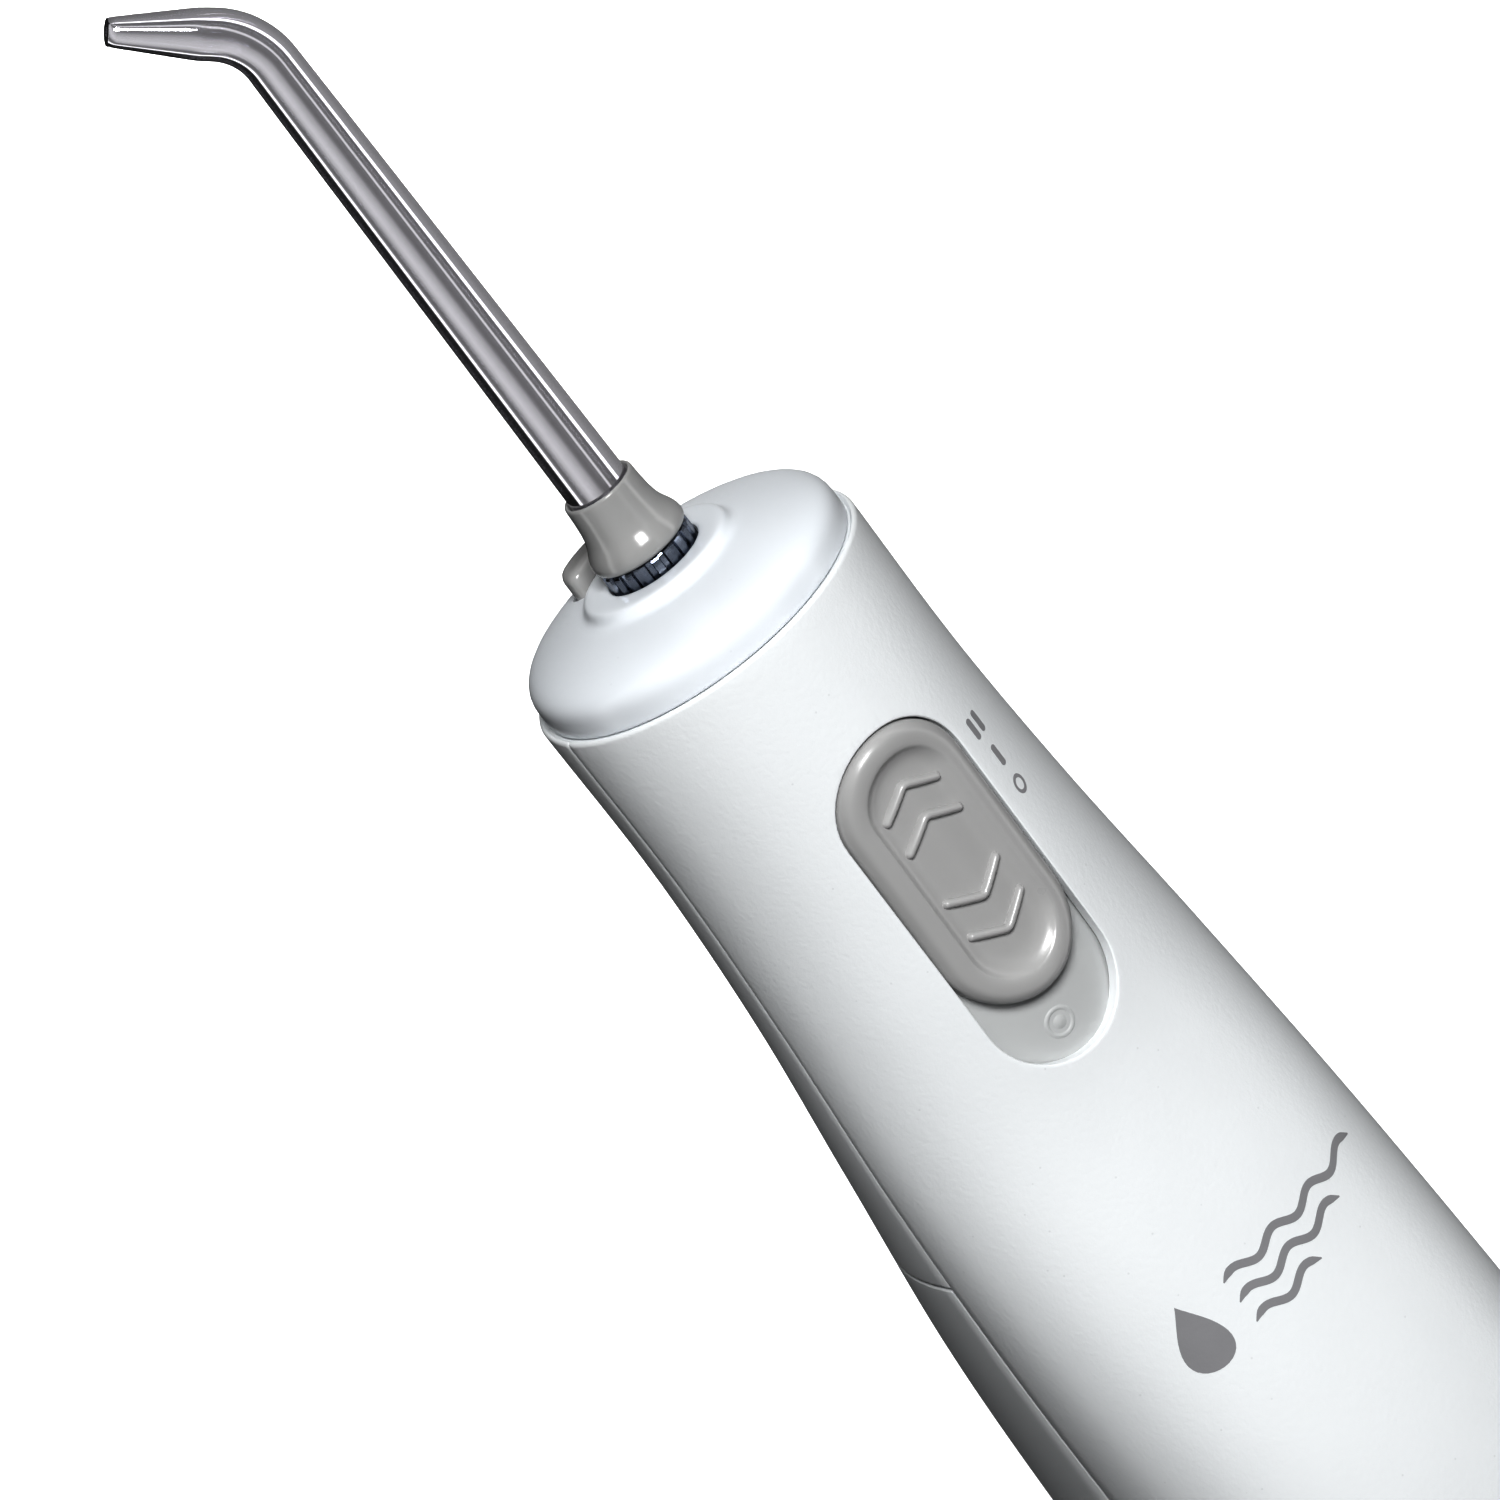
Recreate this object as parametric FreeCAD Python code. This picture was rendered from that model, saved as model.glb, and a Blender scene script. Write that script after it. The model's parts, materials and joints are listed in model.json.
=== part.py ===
"""Cordless water flosser: handle, removable reservoir, piston pump and swivelling jet tip.

Millimetres, +Z up.  The origin is the centre of the flosser's footprint, on the surface that
it stands on.  The switch faces -Y and the reservoir is at the back, +Y.  The round neck's axis
isn't over the footprint's centre, so shapes are drawn about that axis and moved by AXIS_Y when
they are written.
"""
import FreeCAD, Part
import math
import os

# Driving dimensions ---------------------------------------------------------------------------
AXIS_Y = -5.5            # neck axis, measured from the footprint's centre
RIM_Z = 200.0            # top of the two housings
WALL = 1.8               # wall of housings and reservoir
GAP = 0.3                # space between the handle and the reservoir
SEAM_Y = 0.0             # plane where the front and rear shells meet
BAY_TOP = 118.0          # underside of the rear housing, above the reservoir
BULKHEAD = 2.0           # flat wall between the handle's works and the reservoir
BASE_ROUND = 3.5         # round along the bottom edge
SCREW_HEAD_R = 2.5
SCREW_HOLE_R = 0.95
COVER_GAP = 0.15
WIRE_SLOTS_X = (-7.0, 9.5)
TOUCH = 0.02             # clearance between pieces that are fixed to each other

# Body sections: height, half width, depth to the front, depth to the back, superellipse power
SECTIONS = [
    (0.0, 26.5, 31.0, 42.0, 2.7),
    (12.0, 26.5, 31.0, 42.0, 2.7),
    (35.0, 26.5, 31.0, 42.0, 2.7),
    (70.0, 26.5, 29.0, 40.5, 2.6),
    (105.0, 26.3, 23.5, 35.5, 2.4),
    (132.0, 25.1, 20.3, 27.5, 2.2),
    (156.0, 23.1, 21.2, 23.2, 2.05),
    (178.0, 21.9, 21.9, 21.9, 2.0),
    (RIM_Z, 22.0, 22.0, 22.0, 2.0),
]
SECTION_POINTS = 28

# Top cap and what stands on it
CAP_R = 21.0             # the housings' rim stands 1 mm out from under it
CAP_GAP = 0.25           # groove between the housings' rim and the cap
CAP_WALL = 1.6
CAP_CURVE = ((22.0, 2.5), (21.5, 4.0), (20.0, 5.3), (16.0, 6.8), (12.6, 7.4), (10.8, 7.7))  # before scaling
SKIRT_R = 19.6
BOSS_R = 9.1
BOSS_TOP = RIM_Z + 8.6
RING_R = 5.95
RING_TEETH = 20
RING_TOP = RIM_Z + 10.6
COLLAR_BASE = RING_TOP + 0.1
COLLAR_TOP = RIM_Z + 19.6
SHANK_R = 3.3
SHANK_END = RIM_Z - 14.0
TUBE_R = 3.85
BEND_TUBE_R = 3.1
BEND_R = 9.0
BEND_TURN = 50.0
BEND_CORNER = RIM_Z + 86.4
NOZZLE_LENGTH = 16.2
NOZZLE_AZIMUTH = 159.0   # direction that the nozzle points, from +X towards +Y
NOZZLE_END_R = 1.55
BORE_R = 1.25
JET_R = 0.5

# Eject button and tip latch
EJECT_Y = 12.2
EJECT_WIDE = 11.6
EJECT_DEEP = 4.2
EJECT_TOP = RIM_Z + 10.4
EJECT_TRAVEL = 2.0
LATCH_Z = RIM_Z - 3.0
LATCH_THICK = 1.6

# Power switch, in a track that leans with the front of the neck
SWITCH_LEAN = 1.8
SWITCH_MID = 159.35
SWITCH_X = -1.0            # the switch stands a little left of the middle
RECESS_TOP = RIM_Z - 16.65
RECESS_END = RIM_Z - 64.0
RECESS_HALF = 9.25
SLIDER_TOP = RIM_Z - 16.9
SLIDER_END = RIM_Z - 54.7
SLIDER_HALF = 9.0
SLIDER_FACE_R = 22.1
FLOOR_R = 19.4
DISH_DEPTH = 1.6
DISH_RIM = 2.9
SWITCH_TRAVEL = 9.0
SWITCH_STEM = ((-2.4, 2.4), (-20.2, -16.9), (160.0, 172.0))
SWITCH_SLOT = ((-2.6, 2.6), (SWITCH_STEM[2][0] - SWITCH_TRAVEL - 0.3, SWITCH_STEM[2][1] + 0.3))
CARRIAGE = ((-6.0, 6.0), (-16.9, -15.4), (159.0, 173.0))
CARRIAGE_NOSE = ((5.98, 7.4), (-16.4, -15.4), (164.0, 168.0))
UP_CHEVRONS = (RIM_Z - 24.3, RIM_Z - 29.0)
DOWN_CHEVRONS = (RIM_Z - 40.8, RIM_Z - 45.9)
CHEVRON_ARM = 5.2
CHEVRON_SLOPE = 30
RIB_HALF = 0.45
RIB_HIGH = 0.6
DIMPLE = (-2.2, RIM_Z - 59.7)
BOARD = ((-9.5, 9.5), (-14.4, -13.2), (136.0, 184.0))
BOARD_HOLES = ((-7.5, 138.5), (7.5, 138.5), (-7.5, 181.5), (7.5, 181.5))

# Drive and pump
WORKS_Y = -11.6          # plane through the motor, gears and pump
MOTOR_Z = 74.0
MOTOR_R = 10.0
MOTOR_FLAT = 7.7
MOTOR_X = (-19.0, 2.0)
MOTOR_SCREW_Z = (MOTOR_Z - 6, MOTOR_Z + 6)
MODULE = 0.5
PINION_TEETH = 12
GEAR_TEETH = 34
GEAR_X = (3.8, 6.6)
THROW = 1.75
CRANK_PIN_R = 1.2
PUMP_X = 8.9
PUMP_R = 6.0
PISTON_R = 4.0
CYLINDER_END = 96.0
CHAMBER_TOP = 108.0
HEAD_TOP = 115.0
INLET_Z = 110.5
PORT_R = 2.6             # inlet pipe's way through the reservoir's front wall
PORT_SEAL_R = 3.5
NIPPLE_R = 2.0
FLOW_R = 1.2
VALVE_R = 2.3
CENTRES = MODULE * (PINION_TEETH + GEAR_TEETH) / 2 + 0.1
GEAR_Z = MOTOR_Z + CENTRES

# Battery bay: three AA cells side by side
CELL_R = 7.25
CELL_LONG = 50.5
CELL_PITCH = 14.7
CELL_Y = -11.6
CELL_Z = 8.0
COVER_WIDE = 43.6
COVER_TALL = 52.0
COVER_MID = 33.5
COVER_SCREW_Z = COVER_MID + COVER_TALL / 2 + 2.4
COVER_Y = (-1.15, -0.1)
COVER_PLUG_Y = (-2.6, -1.1)
LEDGE_TOP = 62.0

# Release button in the back of the rear housing
RELEASE_Z = 127.0
RELEASE_HALF = (7.0, 4.0)
RELEASE_PROUD = 0.35
RELEASE_TONGUE = WALL + 1.2

# Lugs that hold the rear housing's two screws
LUG_X = 14.0
LUG_Y = 7.0
LUG_HALF = 4.0
LUG_TOP = BAY_TOP + WALL + 4.5

# Fill door in the back of the reservoir
DOOR_HALF = 8.0
DOOR_HINGE_Z = 88.0
DOOR_TOP = 106.0
HINGE_R = 1.4
HINGE_DEPTH = 2.2        # hinge axis under the reservoir's back
HINGE_PIN_R = 0.85
DOOR_GAP = 0.25
SCOOP_R = 9.0            # finger scoop in the reservoir over the door's top edge
SCOOP_DEPTH = 1.0

# Suction tube down to the bottom of the reservoir
SUCTION_Y = 9.0
SUCTION_R = 2.2
FILTER_R = 4.2
FILTER_Z = 4.0
FILTER_TALL = 8.0

V = FreeCAD.Vector
X, Y, Z = V(1, 0, 0), V(0, 1, 0), V(0, 0, 1)
written = {}


# Helpers --------------------------------------------------------------------------------------
def save(name, shape):
    """Write one node, moved from the neck's axis to the footprint's frame."""
    shape = shape.removeSplitter()
    shape.translate(V(0, AXIS_Y, 0))
    good = shape.isValid() and all(s.isClosed() for s in shape.Shells) and shape.Solids
    if not good:
        print("BAD SHAPE", name)
    shape.exportStep("parts/" + name + ".step")
    written[name] = shape


def box(x, y, z):
    """A box from three (low, high) pairs."""
    corner = V(x[0], y[0], z[0])
    return Part.makeBox(x[1] - x[0], y[1] - y[0], z[1] - z[0], corner)


def rod(radius, length, start, along=Z):
    return Part.makeCylinder(radius, length, start, along)


def tube(outer, inner, length, start, along=Z):
    return rod(outer, length, start, along).cut(rod(inner, length, start, along))


def turned(profile, centre=V(0, 0, 0)):
    """A solid turned about Z from (radius, height) points."""
    points = [V(r, 0, z) for r, z in profile]
    face = Part.Face(Part.makePolygon(points + [points[0]]))
    solid = face.revolve(V(0, 0, 0), Z, 360)
    solid.translate(centre)
    return solid


def body_size(z):
    """Half width, front depth, back depth and power of the body at one height."""
    for low, high in zip(SECTIONS, SECTIONS[1:]):
        if z <= high[0]:
            share = (z - low[0]) / (high[0] - low[0])
            return [a + (b - a) * share for a, b in zip(low[1:], high[1:])]
    return list(SECTIONS[-1][1:])


def section(z, size, inset):
    """One closed curve round the body, moved inwards by the inset."""
    half, front, back, power = size
    points = []
    for i in range(SECTION_POINTS):
        angle = 2 * math.pi * i / SECTION_POINTS
        across, along = math.cos(angle), math.sin(angle)
        depth = (back if along > 0 else front) - inset
        x = math.copysign(abs(across) ** (2 / power), across) * (half - inset)
        y = math.copysign(abs(along) ** (2 / power), along) * depth
        points.append(V(x, y, z))
    curve = Part.BSplineCurve()
    curve.interpolate(Points=points, PeriodicFlag=True)
    return Part.Wire(curve.toShape())


def body(inset, low, high):
    """The body's smooth form between two heights, moved inwards by the inset."""
    heights = [low] + [s[0] for s in SECTIONS if low + 1 < s[0] < high - 1] + [high]
    wires = [section(z, body_size(z), inset) for z in heights]
    return Part.makeLoft(wires, True, False)


def stadium(half, low, high, y, depth, x=0.0):
    """A rounded-end slot shape in the XZ plane about x, from y and depth along +Y."""
    left, right = x - half, x + half
    arc_low = low + half
    arc_high = high - half
    edges = [
        Part.makeLine(V(left, y, arc_low), V(left, y, arc_high)),
        Part.Arc(V(left, y, arc_high), V(x, y, high), V(right, y, arc_high)).toShape(),
        Part.makeLine(V(right, y, arc_high), V(right, y, arc_low)),
        Part.Arc(V(right, y, arc_low), V(x, y, low), V(left, y, arc_low)).toShape(),
    ]
    return Part.Face(Part.Wire(edges)).extrude(V(0, depth, 0))


def switch_outline(half, low, high):
    """A slot shape through the front of the neck, about the middle of the switch."""
    return stadium(half, low, high, -30, 15, SWITCH_X)


def pipe(points, radius):
    """A round tube along straight runs that are joined by tangent arcs."""
    points = [V(*p) for p in points]
    edges = []
    start = points[0]
    for before, corner, after in zip(points, points[1:], points[2:]):
        a, b = before - corner, after - corner
        turn = math.pi - a.getAngle(b)
        cut = 0.45 * min(a.Length, b.Length)
        first = corner + a.normalize() * cut
        last = corner + b.normalize() * cut
        bend = cut / math.tan(turn / 2)
        centre = corner + (a + b).normalize() * math.hypot(bend, cut)
        middle = centre + (corner - centre).normalize() * bend
        edges.append(Part.makeLine(start, first))
        edges.append(Part.Arc(first, middle, last).toShape())
        start = last
    edges.append(Part.makeLine(start, points[-1]))
    path = Part.Wire(edges)
    ring = Part.Wire(Part.makeCircle(radius, points[0], points[1] - points[0]))
    return path.makePipeShell([ring], True, False)


def coil(radius, wire, turns, low, high, centre):
    """A compression spring along Z."""
    pitch = (high - low - 2 * wire) / turns
    helix = Part.Wire(Part.makeHelix(pitch, pitch * turns, radius))
    ring = Part.Wire(Part.makeCircle(wire, V(radius, 0, 0), Y))
    spring = helix.makePipeShell([ring], True, True)
    spring.translate(centre + V(0, 0, low + wire))
    return spring


def gear(teeth, x, centre, bore, phase):
    """A spur gear on an axis along X, with straight-sided teeth and backlash."""
    pitch_r = MODULE * teeth / 2
    tip, root = pitch_r + 0.8 * MODULE, pitch_r - 1.15 * MODULE
    step = 2 * math.pi / teeth
    shares = [(-0.27, root), (-0.11, tip), (0.11, tip), (0.27, root)]
    points = []
    for i in range(teeth):
        for share, radius in shares:
            angle = phase + (i + share) * step
            points.append(V(x[0], radius * math.cos(angle), radius * math.sin(angle)))
    face = Part.Face(Part.makePolygon(points + [points[0]]))
    wheel = face.extrude(V(x[1] - x[0], 0, 0))
    wheel.translate(V(0, centre[0], centre[1]))
    return wheel.cut(rod(bore, x[1] - x[0], V(x[0], centre[0], centre[1]), X))


def screw(start, along, head_r, head_deep, shank_r, shank_long):
    """A cross-recessed screw whose head's outer face is at the start."""
    turn = FreeCAD.Rotation(Z, along)
    shape = rod(head_r, head_deep, V(0, 0, 0)).fuse(rod(shank_r, shank_long, V(0, 0, head_deep)))
    for wide, deep in ((head_r * 1.3, head_r * 0.3), (head_r * 0.3, head_r * 1.3)):
        shape = shape.cut(box((-wide / 2, wide / 2), (-deep / 2, deep / 2), (0, head_deep * 0.6)))
    shape.Placement = FreeCAD.Placement(start, turn)
    return shape


def lean(shape):
    """Tip a switch piece so that it follows the front of the neck."""
    shape.rotate(V(0, -21.2, SWITCH_MID), X, SWITCH_LEAN)
    return shape


# The outer form, shared by the housings and the reservoir -------------------------------------
def outer_form():
    form = body(0, 0.0, RIM_Z)
    base = [e for e in form.Edges if e.BoundBox.ZMax < 0.01]
    return form.makeFillet(BASE_ROUND, base)


OUTER = outer_form()
INNER = body(WALL, WALL, RIM_Z + 2)
FAR = 60
FRONT = box((-FAR, FAR), (-FAR, SEAM_Y), (-1, RIM_Z + 5))
BACK = box((-FAR, FAR), (SEAM_Y, FAR), (-1, RIM_Z + 5))


# Housings -------------------------------------------------------------------------------------
def cover_block(grow, y):
    wide, tall = COVER_WIDE / 2 + grow, COVER_TALL / 2 + grow
    return box((-wide, wide), y, (COVER_MID - tall, COVER_MID + tall))


def cover_tab(grow):
    """The tab on the battery cover's top edge that its screw goes through."""
    low = COVER_MID + COVER_TALL / 2 - 1
    return box((-4 - grow, 4 + grow), (COVER_Y[0] - grow, COVER_Y[1] + grow),
               (low, COVER_SCREW_Z + 2.4 + grow))


def front_housing():
    recess = lean(switch_outline(RECESS_HALF, RECESS_END, RECESS_TOP))
    return OUTER.cut(INNER).common(FRONT).cut(recess)


def bulkhead():
    """The flat wall that carries the works, with the battery opening, two wire slots and two lugs."""
    across = (-FAR, FAR)
    blocks = [box(across, (-BULKHEAD - 1, -BULKHEAD), (WALL, LEDGE_TOP)),
              box(across, (-FAR, -BULKHEAD - 1), (LEDGE_TOP - 1.0, LEDGE_TOP + 0.5))]
    for side in (-1, 1):
        blocks.append(box((side * LUG_X - LUG_HALF, side * LUG_X + LUG_HALF), (-BULKHEAD, LUG_Y + LUG_HALF),
                          (BAY_TOP + WALL + TOUCH, LUG_TOP)))
    shape = box(across, (-BULKHEAD, SEAM_Y), (WALL, LUG_TOP)).fuse(blocks).removeSplitter()
    shape = shape.common(body(WALL + TOUCH, WALL + TOUCH, RIM_Z))
    for side in (-1, 1):
        shape = shape.cut(rod(SCREW_HOLE_R, LUG_HALF, V(side * LUG_X, LUG_Y, BAY_TOP + WALL)))
    shape = shape.cut(cover_block(COVER_GAP, (-BULKHEAD, 1.0)))
    shape = shape.cut(cover_block(-WALL, (-BULKHEAD - 2, 1.0)))
    shape = shape.cut(cover_tab(COVER_GAP)).cut(rod(1.0, 6.0, V(0, -5.0, COVER_SCREW_Z), Y))
    for x in WIRE_SLOTS_X:
        shape = shape.cut(box((x - 1, x + 1), (-9, -5), (LEDGE_TOP - 2, LEDGE_TOP + 2)))
    return shape.cut(rod(PORT_SEAL_R, 6, V(PUMP_X, -4, INLET_Z), Y))


def rear_housing():
    shell = OUTER.cut(INNER).common(BACK).common(box((-FAR, FAR), (0, FAR), (BAY_TOP, RIM_Z)))
    floor = OUTER.common(box((-FAR, FAR), (SEAM_Y, FAR), (BAY_TOP, BAY_TOP + WALL)))
    shape = shell.fuse(floor)
    for side in (-1, 1):
        start = V(side * LUG_X, LUG_Y, BAY_TOP)
        shape = shape.cut(rod(1.3, WALL, start)).cut(rod(SCREW_HEAD_R + 0.1, 1.1, start))
    return shape.cut(release_block(0.2, FAR))


def release_block(grow, high):
    """The release button's round-ended outline, pushed through the back of the rear housing."""
    half, tall = RELEASE_HALF[0] + grow, RELEASE_HALF[1] + grow
    slot = stadium(tall, -half, half, 15, high - 15)
    slot.rotate(V(0, 0, 0), Y, 90)
    slot.translate(V(0, 0, RELEASE_Z))
    return slot


def release_button():
    core = body(RELEASE_TONGUE, BAY_TOP, 150)
    face = release_block(0, FAR).common(body(-RELEASE_PROUD, BAY_TOP, 150)).cut(core)
    flange = release_block(1.0, FAR).common(body(WALL + 0.25, BAY_TOP, 150)).cut(core)
    return face.fuse(flange)


def housing_screws():
    start = BAY_TOP + 0.1
    screws = [screw(V(s * LUG_X, LUG_Y, start), Z, SCREW_HEAD_R, 1.0, SCREW_HOLE_R, 3.6) for s in (-1, 1)]
    return Part.makeCompound(screws)


# Reservoir ------------------------------------------------------------------------------------
HINGE_Y = body_size(DOOR_HINGE_Z)[2] - HINGE_DEPTH


def door_block(grow, low):
    half = DOOR_HALF + grow
    return box((-half, half), (20, FAR), (low, DOOR_TOP + grow))


def reservoir():
    top = BAY_TOP - GAP
    shape = OUTER.common(box((-FAR, FAR), (GAP, FAR), (-1, top)))
    inside = box((-FAR, FAR), (GAP + WALL, FAR), (WALL, top - WALL))
    shape = shape.cut(INNER.common(inside))
    shape = shape.cut(door_block(DOOR_GAP, DOOR_HINGE_Z - 2.6))
    scoop_z = DOOR_TOP + 2.0
    scoop_y = body_size(scoop_z)[2] + SCOOP_R - SCOOP_DEPTH
    shape = shape.cut(Part.makeSphere(SCOOP_R, V(0, scoop_y, scoop_z)))
    for side in (-1, 1):
        ear = box((side * 9.55 - 1.2, side * 9.55 + 1.2), (HINGE_Y - 2.0, HINGE_Y + 1.4),
                  (DOOR_HINGE_Z - 3.0, DOOR_HINGE_Z + 2.0)).common(body(0.2, WALL, RIM_Z))
        shape = shape.fuse(ear)
    shape = shape.cut(rod(HINGE_PIN_R - 0.05, 21.4, V(-10.7, HINGE_Y, DOOR_HINGE_Z), X))
    return shape.cut(rod(PORT_R, 6, V(PUMP_X, 0, INLET_Z), Y))


def fill_door():
    leaf = door_block(0, DOOR_HINGE_Z).common(body(0.05, WALL, RIM_Z)).cut(body(WALL, WALL, RIM_Z))
    barrel = rod(HINGE_R, 2 * DOOR_HALF, V(-DOOR_HALF, HINGE_Y, DOOR_HINGE_Z), X)
    foot = box((-DOOR_HALF, DOOR_HALF), (HINGE_Y - HINGE_R, HINGE_Y + 1.2),
               (DOOR_HINGE_Z, DOOR_HINGE_Z + 3.5))
    bore = rod(HINGE_PIN_R, 2 * DOOR_HALF, V(-DOOR_HALF, HINGE_Y, DOOR_HINGE_Z), X)
    return leaf.fuse([barrel, foot]).cut(bore)


def fill_door_seal():
    block = box((-7.0, 7.0), (20, FAR), (DOOR_HINGE_Z + 5, DOOR_TOP - 1.2))
    hole = box((-5.2, 5.2), (20, FAR), (DOOR_HINGE_Z + 6.8, DOOR_TOP - 3.0))
    skin = body(WALL + TOUCH, WALL, RIM_Z).cut(body(WALL + 1.2, WALL, RIM_Z))
    return block.common(skin).cut(hole)


def suction_tube():
    route = [(PUMP_X, GAP + 0.1, INLET_Z), (PUMP_X, SUCTION_Y, INLET_Z),
             (PUMP_X, SUCTION_Y, FILTER_Z + FILTER_TALL)]
    return pipe(route, SUCTION_R).cut(pipe(route, SUCTION_R - 0.8))


def intake_filter():
    foot = V(PUMP_X, SUCTION_Y, FILTER_Z)
    cup = tube(FILTER_R, SUCTION_R + TOUCH, FILTER_TALL, foot).fuse(rod(FILTER_R, 1.0, foot))
    for i in range(6):
        slot = box((-5, 5), (-0.35, 0.35), (FILTER_Z + 1.6, FILTER_Z + 6.6))
        slot.rotate(V(0, 0, 0), Z, 30 * i)
        slot.translate(V(PUMP_X, SUCTION_Y, 0))
        cup = cup.cut(slot)
    return cup


def reservoir_port_seal():
    return tube(PORT_SEAL_R - 0.05, NIPPLE_R + 0.05, BULKHEAD + 0.1, V(PUMP_X, -BULKHEAD, INLET_Z), Y)


# Top cap, ring and tip ------------------------------------------------------------------------
def cap_solid(low, shrink):
    """The cap's outer form, filled down to a height."""
    edge = CAP_R / CAP_CURVE[0][0]
    rim = [((r - shrink) * edge, RIM_Z + z - shrink) for r, z in CAP_CURVE]
    top = BOSS_TOP - shrink
    boss = [(BOSS_R + 0.5, top - 0.25), (BOSS_R - 0.2, top)]
    return turned([(0, low), ((CAP_CURVE[0][0] - shrink) * edge, low)] + rim + boss + [(0, top)])


def eject_hole(grow, low, high):
    wide, deep = EJECT_WIDE / 2 + grow, EJECT_DEEP / 2 + grow
    block = box((-wide, wide), (EJECT_Y - deep, EJECT_Y + deep), (low, high))
    upright = [e for e in block.Edges if abs(e.tangentAt(e.FirstParameter).z) > 0.9]
    return block.makeFillet(1.9, upright)


def top_cap():
    shape = cap_solid(RIM_Z + CAP_GAP, 0).cut(cap_solid(RIM_Z + CAP_GAP - 1, CAP_WALL))
    skirt = tube(SKIRT_R, SKIRT_R - 1.4, 6.5, V(0, 0, RIM_Z - 5.5))
    shape = shape.fuse(skirt).fuse(tube(CAP_R - 0.1, SKIRT_R - 1.4, 0.8, V(0, 0, RIM_Z + CAP_GAP)))
    shape = shape.cut(rod(RING_R + 0.2, 20, V(0, 0, RIM_Z)))
    return shape.cut(eject_hole(0.2, RIM_Z, RIM_Z + 20))


def cap_gasket():
    return tube(CAP_R - 0.2, SKIRT_R + 0.05, CAP_GAP, V(0, 0, RIM_Z))


def knurled_ring():
    points = []
    for i in range(RING_TEETH):
        for share, radius in ((-0.34, RING_R), (0.14, RING_R), (0.24, RING_R - 0.45), (0.56, RING_R - 0.45)):
            angle = 2 * math.pi * (i + share) / RING_TEETH
            points.append(V(radius * math.cos(angle), radius * math.sin(angle), RIM_Z + 7.0))
    face = Part.Face(Part.makePolygon(points + [points[0]]))
    shape = face.extrude(V(0, 0, RING_TOP - RIM_Z - 7.0))
    shape = shape.fuse(rod(5.4, 4.5, V(0, 0, RIM_Z + 3.5))).fuse(rod(7.2, 1.6, V(0, 0, RIM_Z + 3.5)))
    return shape.cut(rod(SHANK_R + 0.2, 12, V(0, 0, RIM_Z + 2)))


def tip_form(collar, bend, nozzle):
    """A tapered stem, a bend and a tapered nozzle, from the radii at collar, bend and end."""
    turn = math.radians(BEND_TURN)
    lead = BEND_R * math.tan(turn / 2)
    azimuth = math.radians(NOZZLE_AZIMUTH)
    out = V(math.cos(azimuth), math.sin(azimuth), 0)
    side = Z.cross(out)
    foot = COLLAR_TOP - 4
    bend_low = BEND_CORNER - lead
    stem = Part.makeCone(collar, bend, bend_low - foot, V(0, 0, foot))
    start = V(0, 0, bend_low)
    disc = Part.Face(Part.Wire(Part.makeCircle(bend, start)))
    elbow = disc.revolve(start + out * BEND_R, side, BEND_TURN)
    along = out * math.sin(turn) + Z * math.cos(turn)
    end = start + out * (BEND_R * (1 - math.cos(turn))) + Z * (BEND_R * math.sin(turn))
    spout = Part.makeCone(bend, nozzle, NOZZLE_LENGTH - lead, end, along)
    return stem.fuse([elbow, spout])


def jet_tip():
    outside = tip_form(TUBE_R, BEND_TUBE_R, NOZZLE_END_R)
    bore = tip_form(BORE_R + 0.1, BORE_R, JET_R)
    shank = rod(SHANK_R, COLLAR_BASE - SHANK_END, V(0, 0, SHANK_END))
    neck = rod(TUBE_R, COLLAR_TOP - 4 - COLLAR_BASE, V(0, 0, COLLAR_BASE))
    shape = outside.fuse([shank, neck])
    shape = shape.cut(bore.fuse(rod(BORE_R, COLLAR_TOP - 4 - SHANK_END, V(0, 0, SHANK_END))))
    return shape.cut(tube(4, 2.5, 1.6, V(0, 0, SHANK_END + 2.2)))


def tip_seal():
    return tube(3.42, 2.52, 1.5, V(0, 0, SHANK_END + 2.25))


def tip_collar():
    outline = [(TUBE_R + 0.02, COLLAR_BASE), (6.1, COLLAR_BASE), (6.15, COLLAR_BASE + 0.5),
               (5.9, COLLAR_BASE + 1.5), (5.4, RIM_Z + 14.2), (4.95, RIM_Z + 16.8),
               (4.65, COLLAR_TOP - 0.4), (4.5, COLLAR_TOP), (TUBE_R + 0.02, COLLAR_TOP)]
    return turned(outline)


def tip_socket():
    shape = turned([(SHANK_R + 0.2, RIM_Z + 2.8), (5.6, RIM_Z + 2.8), (5.6, RIM_Z - 17.0),
                    (2.4, RIM_Z - 22.0), (2.4, RIM_Z - 28.0), (1.2, RIM_Z - 28.0),
                    (1.2, RIM_Z - 15.0), (SHANK_R + 0.2, RIM_Z - 15.0)])
    plate = rod(18.1, 1.6, V(0, 0, RIM_Z - 11.0)).cut(rod(5.0, 1.6, V(0, 0, RIM_Z - 11.0)))
    plate = plate.cut(box((-FAR, FAR), (-FAR, -13.0), (RIM_Z - 12, RIM_Z)))
    slot = box((-7.5, 7.5), (-9.5, 9.5), (LATCH_Z - 0.15, LATCH_Z + LATCH_THICK + 0.15))
    guide = box((-8.6, 8.6), (-8.2, 8.2), (RIM_Z - 9.4, LATCH_Z + LATCH_THICK + 1.4))
    shape = shape.fuse([plate, guide]).cut(slot)
    shape = shape.cut(rod(SHANK_R + 0.2, 30, V(0, 0, RIM_Z - 15.0)))
    return shape.cut(rod(1.3, 4, V(0, EJECT_Y, RIM_Z - 12)))


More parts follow.
